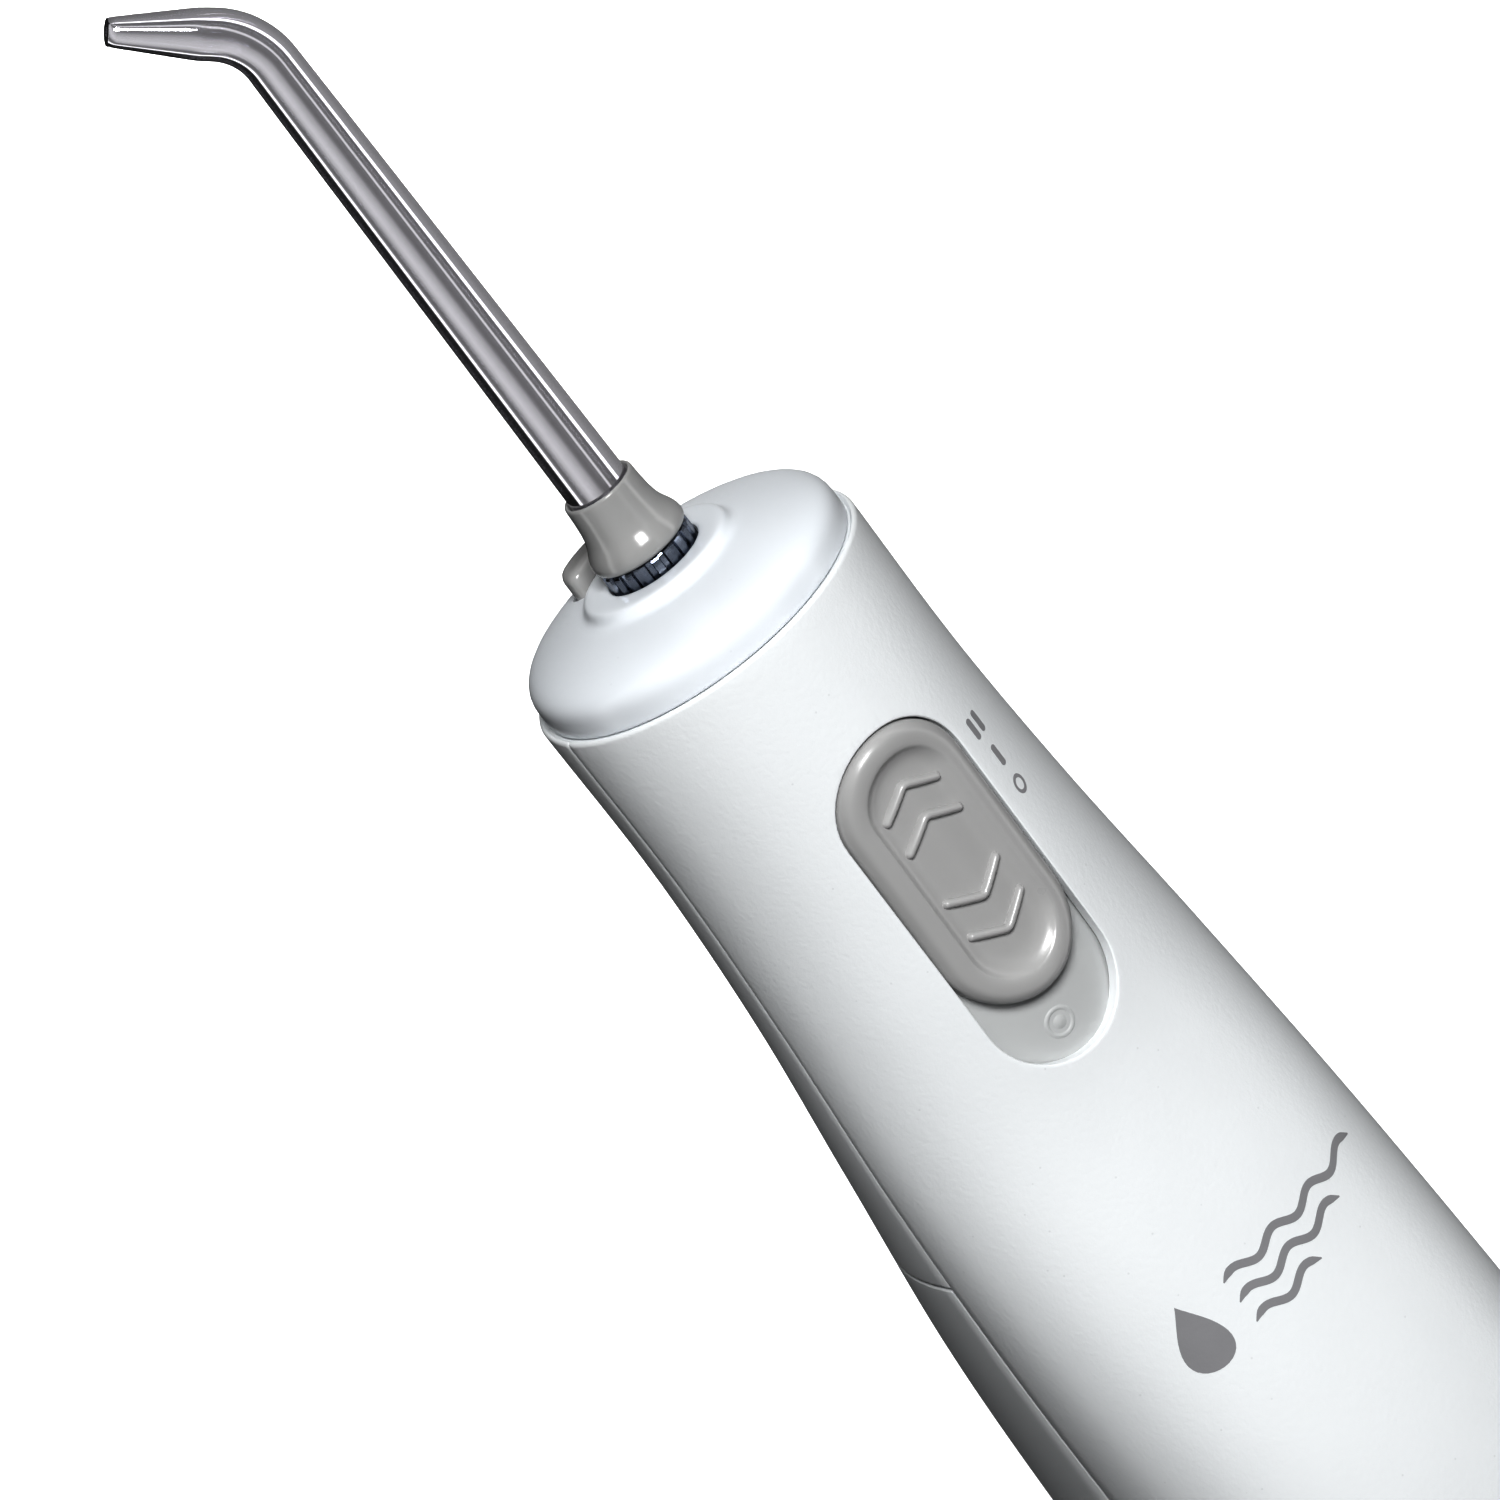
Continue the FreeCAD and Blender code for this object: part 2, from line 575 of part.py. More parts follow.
def tip_latch():
    """A sliding plate round the tip's shank, with a ramp that the eject button pushes."""
    low, high = LATCH_Z, LATCH_Z + LATCH_THICK
    plate = box((-7.2, 7.2), (-7.0, 8.4), (low, high))
    clear = SHANK_R + 0.25
    hole = rod(clear, LATCH_THICK, V(0, 0, low)).fuse(
        box((-clear, clear), (0, EJECT_TRAVEL), (low, high))).fuse(
        rod(clear, LATCH_THICK, V(0, EJECT_TRAVEL, low)))
    ramp = Part.Face(Part.makePolygon([V(-3, 8.4, low), V(-3, 8.4 + LATCH_THICK, low),
                                       V(-3, 8.4, high), V(-3, 8.4, low)])).extrude(V(6, 0, 0))
    return plate.fuse(ramp).cut(hole)


def eject_button():
    top = eject_hole(0, RIM_Z + 4.0, EJECT_TOP)
    crown = [e for e in top.Edges if e.BoundBox.ZMin > EJECT_TOP - 0.01]
    top = top.makeFillet(0.9, crown)
    flange = box((-7.0, 7.0), (EJECT_Y - 2.6, EJECT_Y + 2.6), (RIM_Z + 2.4, RIM_Z + 4.0))
    reach = 8.4 + LATCH_THICK + 0.15
    low = LATCH_Z
    stem = box((-3, 3), (reach, EJECT_Y + 1.8), (low + 0.1, RIM_Z + 2.4))
    wedge = Part.Face(Part.makePolygon([V(-3, reach, low + 0.1), V(-3, 8.65, low + LATCH_THICK),
                                        V(-3, 8.65, RIM_Z + 2.4), V(-3, reach, RIM_Z + 2.4),
                                        V(-3, reach, low + 0.1)])).extrude(V(6, 0, 0))
    post = rod(1.05, 7.0, V(0, EJECT_Y, low - 6.6))
    return top.fuse([flange, stem, wedge, post])


def eject_spring():
    return coil(1.75, 0.3, 5, RIM_Z - 9.38, LATCH_Z + 0.05, V(0, EJECT_Y, 0))


# Power switch ---------------------------------------------------------------------------------
def neck_rod(radius):
    """The neck's round form, which the switch pieces are cut to before they lean."""
    return rod(radius, 90, V(0, 0, 120))


def chevron(point_z, way):
    """Two arms that meet at a point and run down from it, or up when the way is -1."""
    arms = []
    for side in (-1, 1):
        arm = box((0, CHEVRON_ARM), (-30, -15), (-RIB_HALF, RIB_HALF))
        arm.rotate(V(0, 0, 0), Y, way * CHEVRON_SLOPE)
        arm = arm if side > 0 else arm.mirror(V(0, 0, 0), X)
        arm.translate(V(SWITCH_X, 0, point_z))
        arms.append(arm)
    return arms


def ribs():
    """Two chevrons that point up and two that point down, standing up from the slider's dish."""
    shapes = []
    for point_z in UP_CHEVRONS:
        shapes += chevron(point_z, 1)
    for point_z in DOWN_CHEVRONS:
        shapes += chevron(point_z, -1)
    face = SLIDER_FACE_R - DISH_DEPTH
    return [s.common(neck_rod(face + RIB_HIGH)).cut(neck_rod(face - 0.2)) for s in shapes]


def slide_switch():
    shape = switch_outline(SLIDER_HALF, SLIDER_END, SLIDER_TOP).common(neck_rod(SLIDER_FACE_R))
    shape = shape.cut(neck_rod(FLOOR_R + 0.15))
    dish = switch_outline(SLIDER_HALF - DISH_RIM, SLIDER_END + DISH_RIM + 0.3, SLIDER_TOP - DISH_RIM)
    shape = shape.cut(dish.cut(neck_rod(SLIDER_FACE_R - DISH_DEPTH)))
    return lean(shape.fuse(ribs()).fuse(box(*SWITCH_STEM)))


def switch_track():
    shape = switch_outline(RECESS_HALF + 1.4, RECESS_END - 1.4, RECESS_TOP + 1.4)
    shape = shape.cut(neck_rod(FLOOR_R - 1.2))
    shape = shape.cut(switch_outline(RECESS_HALF, RECESS_END, RECESS_TOP).cut(neck_rod(FLOOR_R)))
    shape = shape.cut(box(SWITCH_SLOT[0], (-30, -15), SWITCH_SLOT[1]))
    dimple = tube(1.7, 1.0, 1.0, V(DIMPLE[0], -FLOOR_R - 0.5, DIMPLE[1]), Y)
    return lean(shape.cut(dimple)).common(body(WALL + TOUCH, BAY_TOP + 2, RIM_Z))


def switch_carriage():
    return lean(box(*CARRIAGE).fuse(box(*CARRIAGE_NOSE)))


def circuit_board():
    shape = box(*BOARD)
    for x, z in BOARD_HOLES:
        shape = shape.cut(rod(1.1, 4, V(x, -16, z), Y))
    return shape


def board_parts():
    face = BOARD[1][1] + TOUCH
    switch = box((-4.0, 4.0), (face, -9.0), (160.0, 167.0))
    relay = box((-6.5, -1.5), (face, -10.4), (147.0, 152.0))
    capacitor = rod(2.6, 6.0, V(4.5, face, 150.0), Y)
    return Part.makeCompound([switch, relay, capacitor])


# Drive and pump -------------------------------------------------------------------------------
def motor():
    low, high = MOTOR_X
    can = rod(MOTOR_R, high - low, V(low, WORKS_Y, MOTOR_Z), X)
    can = can.common(box((low, high), (WORKS_Y - MOTOR_FLAT, WORKS_Y + MOTOR_FLAT), (50, 100)))
    for z in MOTOR_SCREW_Z:
        can = can.cut(rod(1.0, 3, V(high - 2.6, WORKS_Y + 4, z), X))
    return can.cut(rod(1.05, high - low, V(low, WORKS_Y, MOTOR_Z), X))


def motor_pinion():
    phase = math.pi / 2
    wheel = gear(PINION_TEETH, GEAR_X, (WORKS_Y, MOTOR_Z), 0.98, phase)
    shaft = rod(1.0, GEAR_X[1] - MOTOR_X[0] + 0.4, V(MOTOR_X[0], WORKS_Y, MOTOR_Z), X)
    return wheel.fuse(shaft)


def crank_gear():
    phase = -math.pi / 2 + math.pi / GEAR_TEETH
    wheel = gear(GEAR_TEETH, GEAR_X, (WORKS_Y, GEAR_Z), 1.05, phase)
    pin = rod(CRANK_PIN_R, 4.2, V(GEAR_X[1], WORKS_Y, GEAR_Z + THROW), X)
    hub = rod(3.4, 0.5, V(GEAR_X[1], WORKS_Y, GEAR_Z), X)
    return wheel.fuse([hub, pin])


def gear_axle():
    return rod(1.0, 4.6, V(1.9, WORKS_Y, GEAR_Z), X)


def gearbox_frame():
    """A plate between the motor and the gears, with a shelf that carries the pump."""
    plate = box((2.02, 3.4), (WORKS_Y - 7.6, WORKS_Y + 8.6), (MOTOR_Z - 8, HEAD_TOP - 6))
    plate = plate.cut(rod(2.2, 3, V(1, WORKS_Y, MOTOR_Z), X))
    plate = plate.cut(rod(1.02, 3, V(1, WORKS_Y, GEAR_Z), X))
    for z in MOTOR_SCREW_Z:
        plate = plate.cut(rod(1.0, 3, V(1, WORKS_Y + 4, z), X)).cut(rod(1.65, 1, V(2.55, WORKS_Y + 4, z), X))
    shelf = box((2.1, PUMP_X + 5), (WORKS_Y + 2.0, WORKS_Y + 8.6), (CYLINDER_END + 1.0, CYLINDER_END + 3.0))
    foot = box((2.02, PUMP_X + 5), (WORKS_Y + 8.0, WORKS_Y + 9.55), (CYLINDER_END - 6, CYLINDER_END + 3.0))
    shape = plate.fuse([shelf, foot])
    return shape.cut(rod(PUMP_R + TOUCH, 60, V(PUMP_X, WORKS_Y, CYLINDER_END - 1)))


def gearbox_screws():
    screws = [screw(V(3.4, WORKS_Y + 4, z), V(-1, 0, 0), 1.6, 0.8, 0.95, 2.6) for z in MOTOR_SCREW_Z]
    return Part.makeCompound(screws)


def pump_cylinder():
    axis = V(PUMP_X, WORKS_Y, 0)
    inlet = V(PUMP_X, WORKS_Y, INLET_Z)
    shape = rod(PUMP_R, HEAD_TOP - CYLINDER_END, axis + Z * CYLINDER_END)
    shape = shape.fuse(rod(NIPPLE_R, 6.0, axis + Z * HEAD_TOP))
    shape = shape.fuse(rod(3.2, 8.0, inlet, Y)).fuse(rod(NIPPLE_R, -WORKS_Y + 0.05, inlet, Y))
    shape = shape.cut(rod(PISTON_R + 0.08, CHAMBER_TOP - CYLINDER_END, axis + Z * CYLINDER_END))
    shape = shape.cut(rod(FLOW_R, 20.0, axis + Z * CHAMBER_TOP))
    shape = shape.cut(rod(VALVE_R + 0.1, 1.6, axis + Z * (CHAMBER_TOP + 4.4)))
    shape = shape.cut(rod(FLOW_R, 14.0, inlet, Y))
    return shape.cut(rod(VALVE_R, 1.6, inlet + Y * 5.2, Y))


def outlet_valve():
    return rod(VALVE_R, 0.8, V(PUMP_X, WORKS_Y, CHAMBER_TOP + 4.5))


def inlet_valve():
    return rod(VALVE_R - 0.1, 0.8, V(PUMP_X, WORKS_Y + 5.3, INLET_Z), Y)


YOKE_X = (7.6, 10.2)
YOKE_MID = GEAR_Z + THROW


def piston():
    """Piston, rod and the open yoke that the crank pin works in."""
    half_y = THROW + CRANK_PIN_R + 0.2
    half_z = 2 * THROW + CRANK_PIN_R + 0.2
    frame_y, frame_z = half_y + 1.6, half_z + 1.6
    yoke = box(YOKE_X, (WORKS_Y - frame_y, WORKS_Y + frame_y), (YOKE_MID - frame_z, YOKE_MID + frame_z))
    yoke = yoke.cut(box((0, 20), (WORKS_Y - half_y, WORKS_Y + half_y), (YOKE_MID - half_z, YOKE_MID + half_z)))
    axis = V(PUMP_X, WORKS_Y, 0)
    stem = rod(1.3, 8.0, axis + Z * (YOKE_MID + frame_z - 0.5))
    crown = rod(PISTON_R, 5.0, axis + Z * (CHAMBER_TOP - 8))
    crown = crown.cut(tube(5, PISTON_R - 1.0, 1.6, axis + Z * (CHAMBER_TOP - 5.6)))
    return yoke.fuse([stem, crown])


def piston_seal():
    return tube(PISTON_R + 0.06, PISTON_R - 0.98, 1.5, V(PUMP_X, WORKS_Y, CHAMBER_TOP - 5.55))


def delivery_tube():
    route = [(PUMP_X, WORKS_Y, HEAD_TOP + 0.5), (PUMP_X, WORKS_Y, 132.0), (0, 0, 152.0),
             (0, 0, RIM_Z - 22.2)]
    return pipe(route, 3.0).cut(pipe(route, 2.42)).fuse(
        tube(3.0, 2.02, 5.0, V(PUMP_X, WORKS_Y, HEAD_TOP + 0.5)))


# Batteries ------------------------------------------------------------------------------------
def cell_places():
    return [(i * CELL_PITCH, CELL_Y) for i in (-1, 0, 1)]


def batteries():
    cells = []
    for x, y in cell_places():
        can = rod(CELL_R, CELL_LONG - 1.2, V(x, y, CELL_Z))
        cells.append(can.fuse(rod(2.75, 1.2, V(x, y, CELL_Z + CELL_LONG - 1.2))))
    return Part.makeCompound(cells)


def battery_contacts():
    plates = []
    for z in (CELL_Z - 0.6, CELL_Z + CELL_LONG + 0.1):
        for x, y in cell_places():
            plates.append(box((x - 5.5, x + 5.5), (y - 4.5, y + 4.5), (z, z + 0.5)))
    return Part.makeCompound(plates)


def battery_tray():
    """A cradle with half-round beds under the cells and a wall at each end."""
    half = CELL_PITCH + CELL_R + 0.6
    block = box((-half, half), (CELL_Y - 5.2, CELL_Y - 1.5), (CELL_Z - 2.2, CELL_Z + CELL_LONG + 2.2))
    for x, y in cell_places():
        block = block.cut(rod(CELL_R + 0.1, CELL_LONG + 0.4, V(x, y, CELL_Z - 0.2)))
        for z in (CELL_Z - 0.7, CELL_Z + CELL_LONG):
            block = block.cut(box((x - 5.7, x + 5.7), (CELL_Y - 4.7, 0), (z, z + 0.75)))
    return block.common(body(WALL + 0.2, WALL, 100.0))


def battery_cover():
    plate = cover_block(0, COVER_Y)
    plug = cover_block(-WALL - 0.3, COVER_PLUG_Y)
    return plate.fuse([plug, cover_tab(0)]).cut(rod(1.35, 6, V(0, -4, COVER_SCREW_Z), Y))


def battery_cover_seal():
    return cover_block(-0.1, (-1.95, -1.2)).cut(cover_block(-WALL + 0.1, (-3, 0)))


def battery_cover_screw():
    return screw(V(0, COVER_Y[1], COVER_SCREW_Z), V(0, -1, 0), 1.3, 0.9, SCREW_HOLE_R, 3.6)


def motor_wires():
    wires = []
    for offset, top_x in ((-3.5, -7.0), (3.5, -4.5)):
        route = [(MOTOR_X[0] - 0.02, WORKS_Y, MOTOR_Z + offset), (-21.0, WORKS_Y, MOTOR_Z + offset),
                 (-21.0, WORKS_Y + 1.5, MOTOR_Z + 14 + offset), (-18.0, -7.5, 112.0),
                 (-13.0, -8.5, 128.0), (top_x, -10.5, 136.0), (top_x, -12.2, 143.0)]
        wires.append(pipe(route, 0.6))
    return Part.makeCompound(wires)


# Write every node -----------------------------------------------------------------------------
NODES = {
    "front_housing": front_housing,
    "bulkhead": bulkhead,
    "rear_housing": rear_housing,
    "housing_screws": housing_screws,
    "top_cap": top_cap,
    "cap_gasket": cap_gasket,
    "knurled_ring": knurled_ring,
    "jet_tip": jet_tip,
    "tip_seal": tip_seal,
    "tip_collar": tip_collar,
    "tip_socket": tip_socket,
    "tip_latch": tip_latch,
    "eject_button": eject_button,
    "eject_spring": eject_spring,
    "slide_switch": slide_switch,
    "switch_track": switch_track,
    "switch_carriage": switch_carriage,
    "circuit_board": circuit_board,
    "board_parts": board_parts,
    "motor": motor,
    "motor_pinion": motor_pinion,
    "crank_gear": crank_gear,
    "gear_axle": gear_axle,
    "gearbox_frame": gearbox_frame,
    "gearbox_screws": gearbox_screws,
    "pump_cylinder": pump_cylinder,
    "outlet_valve": outlet_valve,
    "inlet_valve": inlet_valve,
    "piston": piston,
    "piston_seal": piston_seal,
    "delivery_tube": delivery_tube,
    "motor_wires": motor_wires,
    "batteries": batteries,
    "battery_contacts": battery_contacts,
    "battery_tray": battery_tray,
    "battery_cover": battery_cover,
    "battery_cover_seal": battery_cover_seal,
    "battery_cover_screw": battery_cover_screw,
    "release_button": release_button,
    "reservoir": reservoir,
    "reservoir_port_seal": reservoir_port_seal,
    "suction_tube": suction_tube,
    "intake_filter": intake_filter,
    "fill_door": fill_door,
    "fill_door_seal": fill_door_seal,
}

os.makedirs("parts", exist_ok=True)
for node, make in NODES.items():
    save(node, make())
    print(node, round(written[node].Volume, 1), "mm3")
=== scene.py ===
"""Looks of a cordless water flosser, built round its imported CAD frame.  Metres, +Z up."""
import json
import math

import bmesh
import bpy
from mathutils import Matrix, Vector


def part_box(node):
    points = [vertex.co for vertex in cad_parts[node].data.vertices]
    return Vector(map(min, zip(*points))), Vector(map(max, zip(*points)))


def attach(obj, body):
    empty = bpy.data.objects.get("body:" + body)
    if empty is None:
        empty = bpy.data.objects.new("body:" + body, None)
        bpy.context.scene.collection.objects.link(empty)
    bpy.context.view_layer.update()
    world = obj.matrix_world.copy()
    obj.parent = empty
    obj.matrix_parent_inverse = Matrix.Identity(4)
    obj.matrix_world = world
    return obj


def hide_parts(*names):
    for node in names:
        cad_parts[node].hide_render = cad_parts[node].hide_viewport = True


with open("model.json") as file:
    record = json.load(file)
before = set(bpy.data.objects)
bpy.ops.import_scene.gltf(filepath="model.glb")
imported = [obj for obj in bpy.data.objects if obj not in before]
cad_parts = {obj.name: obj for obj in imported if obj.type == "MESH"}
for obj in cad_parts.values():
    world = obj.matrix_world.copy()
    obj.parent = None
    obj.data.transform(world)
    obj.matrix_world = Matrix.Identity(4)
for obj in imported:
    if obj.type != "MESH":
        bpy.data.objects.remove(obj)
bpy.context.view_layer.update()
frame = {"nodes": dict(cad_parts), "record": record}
MM = 0.001
TURNED_SEGMENTS = 128
RIM_SEGMENTS = 160

# Places read from the frame --------------------------------------------------------------------
RING_LOW, RING_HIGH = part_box("knurled_ring")
COLLAR_LOW, COLLAR_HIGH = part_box("tip_collar")
TIP_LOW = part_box("jet_tip")[0]
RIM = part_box("front_housing")[1].z
BAY_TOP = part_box("rear_housing")[0].z
TANK_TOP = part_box("reservoir")[1].z
AXIS = Vector(((RING_LOW.x + RING_HIGH.x) / 2, (RING_LOW.y + RING_HIGH.y) / 2, 0))

# Body form, in mm about the neck's axis: height, half width, front, back, superellipse power -----
SECTIONS = [
    (0, 26.5, 31.0, 42.0, 2.7),
    (12, 26.5, 31.0, 42.0, 2.7),
    (35, 26.5, 31.0, 42.0, 2.7),
    (70, 26.5, 29.0, 40.5, 2.6),
    (105, 26.3, 23.5, 35.5, 2.4),
    (132, 25.1, 20.3, 27.5, 2.2),
    (156, 23.1, 21.2, 23.2, 2.05),
    (178, 21.9, 21.9, 21.9, 2.0),
    (200, 22.0, 22.0, 22.0, 2.0),
]
WALL = 1.8
RIM_MM = RIM / MM


def slopes(column):
    """Smooth end-to-end slopes at each section for one column of the table."""
    z = [s[0] for s in SECTIONS]
    v = [s[column] for s in SECTIONS]
    steps = [(b - a) / (q - p) for a, b, p, q in zip(v, v[1:], z, z[1:])]
    result = [steps[0]]
    for i in range(1, len(v) - 1):
        before, after = z[i] - z[i - 1], z[i + 1] - z[i]
        result.append((steps[i - 1] * after + steps[i] * before) / (before + after))
    return result + [steps[-1]]


SLOPES = {column: slopes(column) for column in range(1, 5)}


def body_size(z):
    """Half width, front depth, back depth and power of the body at a height in mm."""
    z = min(max(z, 0.0), RIM_MM)
    i = max(k for k in range(len(SECTIONS) - 1) if SECTIONS[k][0] <= z or k == 0)
    low, high = SECTIONS[i], SECTIONS[i + 1]
    span = high[0] - low[0]
    t = (z - low[0]) / span
    result = []
    for c in range(1, 5):
        a, b, m, n = low[c], high[c], SLOPES[c][i] * span, SLOPES[c][i + 1] * span
        result.append(a * (1 + 2 * t) * (1 - t) ** 2 + b * t * t * (3 - 2 * t)
                      + m * t * (1 - t) ** 2 - n * t * t * (1 - t))
    return result


def depth_at(x, z, side, inset=0.0):
    """How far the body's surface stands from the neck's axis at a place, to the front or back."""
    half, front, back, power = body_size(z)
    depth = (front if side < 0 else back) - inset
    share = min(abs(x) / (half - inset), 1.0)
    return depth * max(1 - share ** power, 0.0) ** (1 / power)


# Mesh helpers ----------------------------------------------------------------------------------
def place(x, y, z):
    """A point given in mm about the neck's axis, in the frame."""
    return Vector((x * MM + AXIS.x, y * MM + AXIS.y, z * MM))


def new_object(name, points, faces, smooth_angle=35):
    """A mesh object with its faces turned outwards."""
    mesh = bpy.data.meshes.new(name)
    mesh.from_pydata([tuple(p) for p in points], [], faces)
    mesh.validate()
    work = bmesh.new()
    work.from_mesh(mesh)
    bmesh.ops.recalc_face_normals(work, faces=work.faces)
    work.to_mesh(mesh)
    work.free()
    piece = bpy.data.objects.new(name, mesh)
    bpy.context.scene.collection.objects.link(piece)
    finish_shading(piece, smooth_angle)
    return piece


def finish_shading(piece, smooth_angle):
    """Smooth faces, with hard edges only where the surface turns sharply."""
    mesh = piece.data
    mesh.shade_smooth()
    mesh.set_sharp_from_angle(angle=math.radians(smooth_angle))


def apply_modifiers(piece):
    """Gives a piece the mesh that its modifiers make, and removes them."""
    graph = bpy.context.evaluated_depsgraph_get()
    baked = bpy.data.meshes.new_from_object(piece.evaluated_get(graph))
    piece.modifiers.clear()
    old = piece.data
    piece.data = baked
    bpy.data.meshes.remove(old)


def combine(piece, other, how):
    """Boolean of two pieces, keeping the first one's object."""
    change = piece.modifiers.new(how, "BOOLEAN")
    change.operation = how
    change.solver = "EXACT"
    change.object = other
    bpy.context.view_layer.update()
    apply_modifiers(piece)
    mesh = other.data
    bpy.data.objects.remove(other)
    bpy.data.meshes.remove(mesh)
    return piece


def join(piece, others):
    """Adds the meshes of other pieces to the first one."""
    work = bmesh.new()
    for part in [piece] + others:
        work.from_mesh(part.data)
    work.to_mesh(piece.data)
    work.free()
    for part in others:
        mesh = part.data
        bpy.data.objects.remove(part)
        bpy.data.meshes.remove(mesh)
    return piece


def grid_faces(rows, columns, closed_columns=True, closed_rows=False):
    """Four-sided faces over rows of points, joined end to end along or across where closed."""
    faces = []
    for r in range(rows if closed_rows else rows - 1):
        for c in range(columns if closed_columns else columns - 1):
            n, m = (c + 1) % columns, (r + 1) % rows
            faces.append((r * columns + c, r * columns + n, m * columns + n, m * columns + c))
    return faces


def circle(radius, z, count):
    """Points round the neck's axis at a height, in mm."""
    angles = [2 * math.pi * i / count for i in range(count)]
    return [(radius * math.cos(angle), radius * math.sin(angle), z) for angle in angles]


def looped(name, rings, smooth_angle=35):
    """A piece from matching rings of points in mm, with the last ring joined to the first."""
    points = [place(*p) for ring in rings for p in ring]
    return new_object(name, points, grid_faces(len(rings), len(rings[0]), True, True), smooth_angle)


def turned(name, profile, segments=TURNED_SEGMENTS, smooth_angle=35):
    """A piece turned about the neck's axis from a closed line of (radius, height) points in mm."""
    return looped(name, [circle(radius, z, segments) for radius, z in profile], smooth_angle)


def arc_points(cx, cz, radius, start, end, count):
    """Points round an arc in the (radius, height) plane, angles in degrees."""
    result = []
    for i in range(count + 1):
        angle = math.radians(start + (end - start) * i / count)
        result.append((cx + radius * math.cos(angle), cz + radius * math.sin(angle)))
    return result


# Body shells -----------------------------------------------------------------------------------
HALF_COLUMNS = 96
SEAM_ROUND = 0.22


def half_ring(z, inset, side, seam, rounded=SEAM_ROUND):
    """Points round one half of the body at a height, with a small round at each seam edge."""
    half, front, back, power = body_size(z)
    depth = (front if side < 0 else back) - inset
    width = half - inset
    ring = [(width - rounded, seam), (width - rounded * 0.3, seam + side * rounded * 0.3),
            (width, seam + side * rounded)]
    start = 0.05
    for i in range(HALF_COLUMNS + 1):
        angle = start + (math.pi - 2 * start) * i / HALF_COLUMNS
        across, along = math.cos(angle), math.sin(angle)
        x = math.copysign(abs(across) ** (2 / power), across) * width
        ring.append((x, side * along ** (2 / power) * depth))
    ring += [(-x, y) for x, y in ring[2::-1]]
    return ring


def half_solid(name, rows, side, seam, rounded=SEAM_ROUND):
    """A closed half body from rows of (height, inset) in mm."""
    points = []
    for z, inset in rows:
        points += [place(x, y, z) for x, y in half_ring(z, inset, side, seam, rounded)]
    columns = len(points) // len(rows)
    faces = grid_faces(len(rows), columns, False)
    faces.append(tuple(range(columns)))
    faces.append(tuple((len(rows) - 1) * columns + c for c in range(columns)))
    left = [r * columns for r in range(len(rows))]
    right = [r * columns + columns - 1 for r in range(len(rows))]
    faces += [(left[r], left[r + 1], right[r + 1], right[r]) for r in range(len(rows) - 1)]
    return new_object(name, points, faces)


def rounded_rows(low, high, low_round, high_round, step=1.6, count=8):
    """Rows of (height, inset) from low to high, with a quarter round at each end.
    Each round is given as how far it goes in and how high it is."""
    rows = []
    quarter = [math.pi / 2 * i / count for i in range(count + 1)]
    for angle in quarter:
        rows.append((low + low_round[1] * (1 - math.cos(angle)), low_round[0] * (1 - math.sin(angle))))
    start, end = low + low_round[1], high - high_round[1]
    middle = int((end - start) / step)
    rows += [(start + (end - start) * i / middle, 0.0) for i in range(1, middle)]
    for angle in quarter:
        rows.append((end + high_round[1] * math.sin(angle), high_round[0] * (1 - math.cos(angle))))
    return rows


def inner_rows(low, high, inset, step=4.0):
    """Rows of (height, inset) for the straight-sided hollow of a shell."""
    count = int((high - low) / step)
    return [(low + (high - low) * i / count, inset) for i in range(count + 1)]


def slab(name, x, y, z):
    """A plain block used only to cut other pieces."""
    corners = [place(a, b, c) for c in z for b in y for a in x]
    faces = [(0, 1, 3, 2), (4, 6, 7, 5), (0, 4, 5, 1), (2, 3, 7, 6), (0, 2, 6, 4), (1, 5, 7, 3)]
    return new_object(name, corners, faces)


# Switch recess ---------------------------------------------------------------------------------
LEAN = math.radians(1.8)
LEAN_ABOUT = (-21.2, 159.35)
SWITCH_X = -1.0
RECESS_HALF = 9.25
RECESS = (136.0, 183.35)


def lean(point):
    """Tips a switch point, in mm about the neck's axis, to follow the front of the neck."""
    x, y, z = point
    dy, dz = y - LEAN_ABOUT[0], z - LEAN_ABOUT[1]
    return (x, LEAN_ABOUT[0] + dy * math.cos(LEAN) - dz * math.sin(LEAN),
            LEAN_ABOUT[1] + dy * math.sin(LEAN) + dz * math.cos(LEAN))


def stadium_outline(half, low, high, grow=0.0, arc=28, straight=16):
    """Points (x, z) round a stadium shape, grown outwards or shrunk by a negative grow."""
    radius = half + grow
    top, base = high - half, low + half
    points = []
    for i in range(arc + 1):
        angle = math.pi * i / arc
        points.append((radius * math.cos(angle), top + radius * math.sin(angle)))
    points += [(-radius, top + (base - top) * i / straight) for i in range(1, straight)]
    for i in range(arc + 1):
        angle = math.pi + math.pi * i / arc
        points.append((radius * math.cos(angle), base + radius * math.sin(angle)))
    points += [(radius, base + (top - base) * i / straight) for i in range(1, straight)]
    return points


def box_outline(half_x, half_z, corner, grow=0.0, arc=8, straight=8):
    """Points (x, z) round a rounded rectangle about the origin."""
    wide, tall = half_x + grow, half_z + grow
    radius = max(corner + grow, 0.02)
    points = []
    centres = ((1, 1, 0), (-1, 1, 90), (-1, -1, 180), (1, -1, 270))
    for k, (sx, sz, start) in enumerate(centres):
        cx, cz = sx * (wide - radius), sz * (tall - radius)
        for i in range(arc + 1):
            angle = math.radians(start + 90 * i / arc)
            points.append((cx + radius * math.cos(angle), cz + radius * math.sin(angle)))
        after = centres[(k + 1) % 4]
        angle = math.radians(after[2])
        end = (after[0] * (wide - radius) + radius * math.cos(angle),
               after[1] * (tall - radius) + radius * math.sin(angle))
        last = points[-1]
        points += [(last[0] + (end[0] - last[0]) * i / straight, last[1] + (end[1] - last[1]) * i / straight)
                   for i in range(1, straight)]
    return points


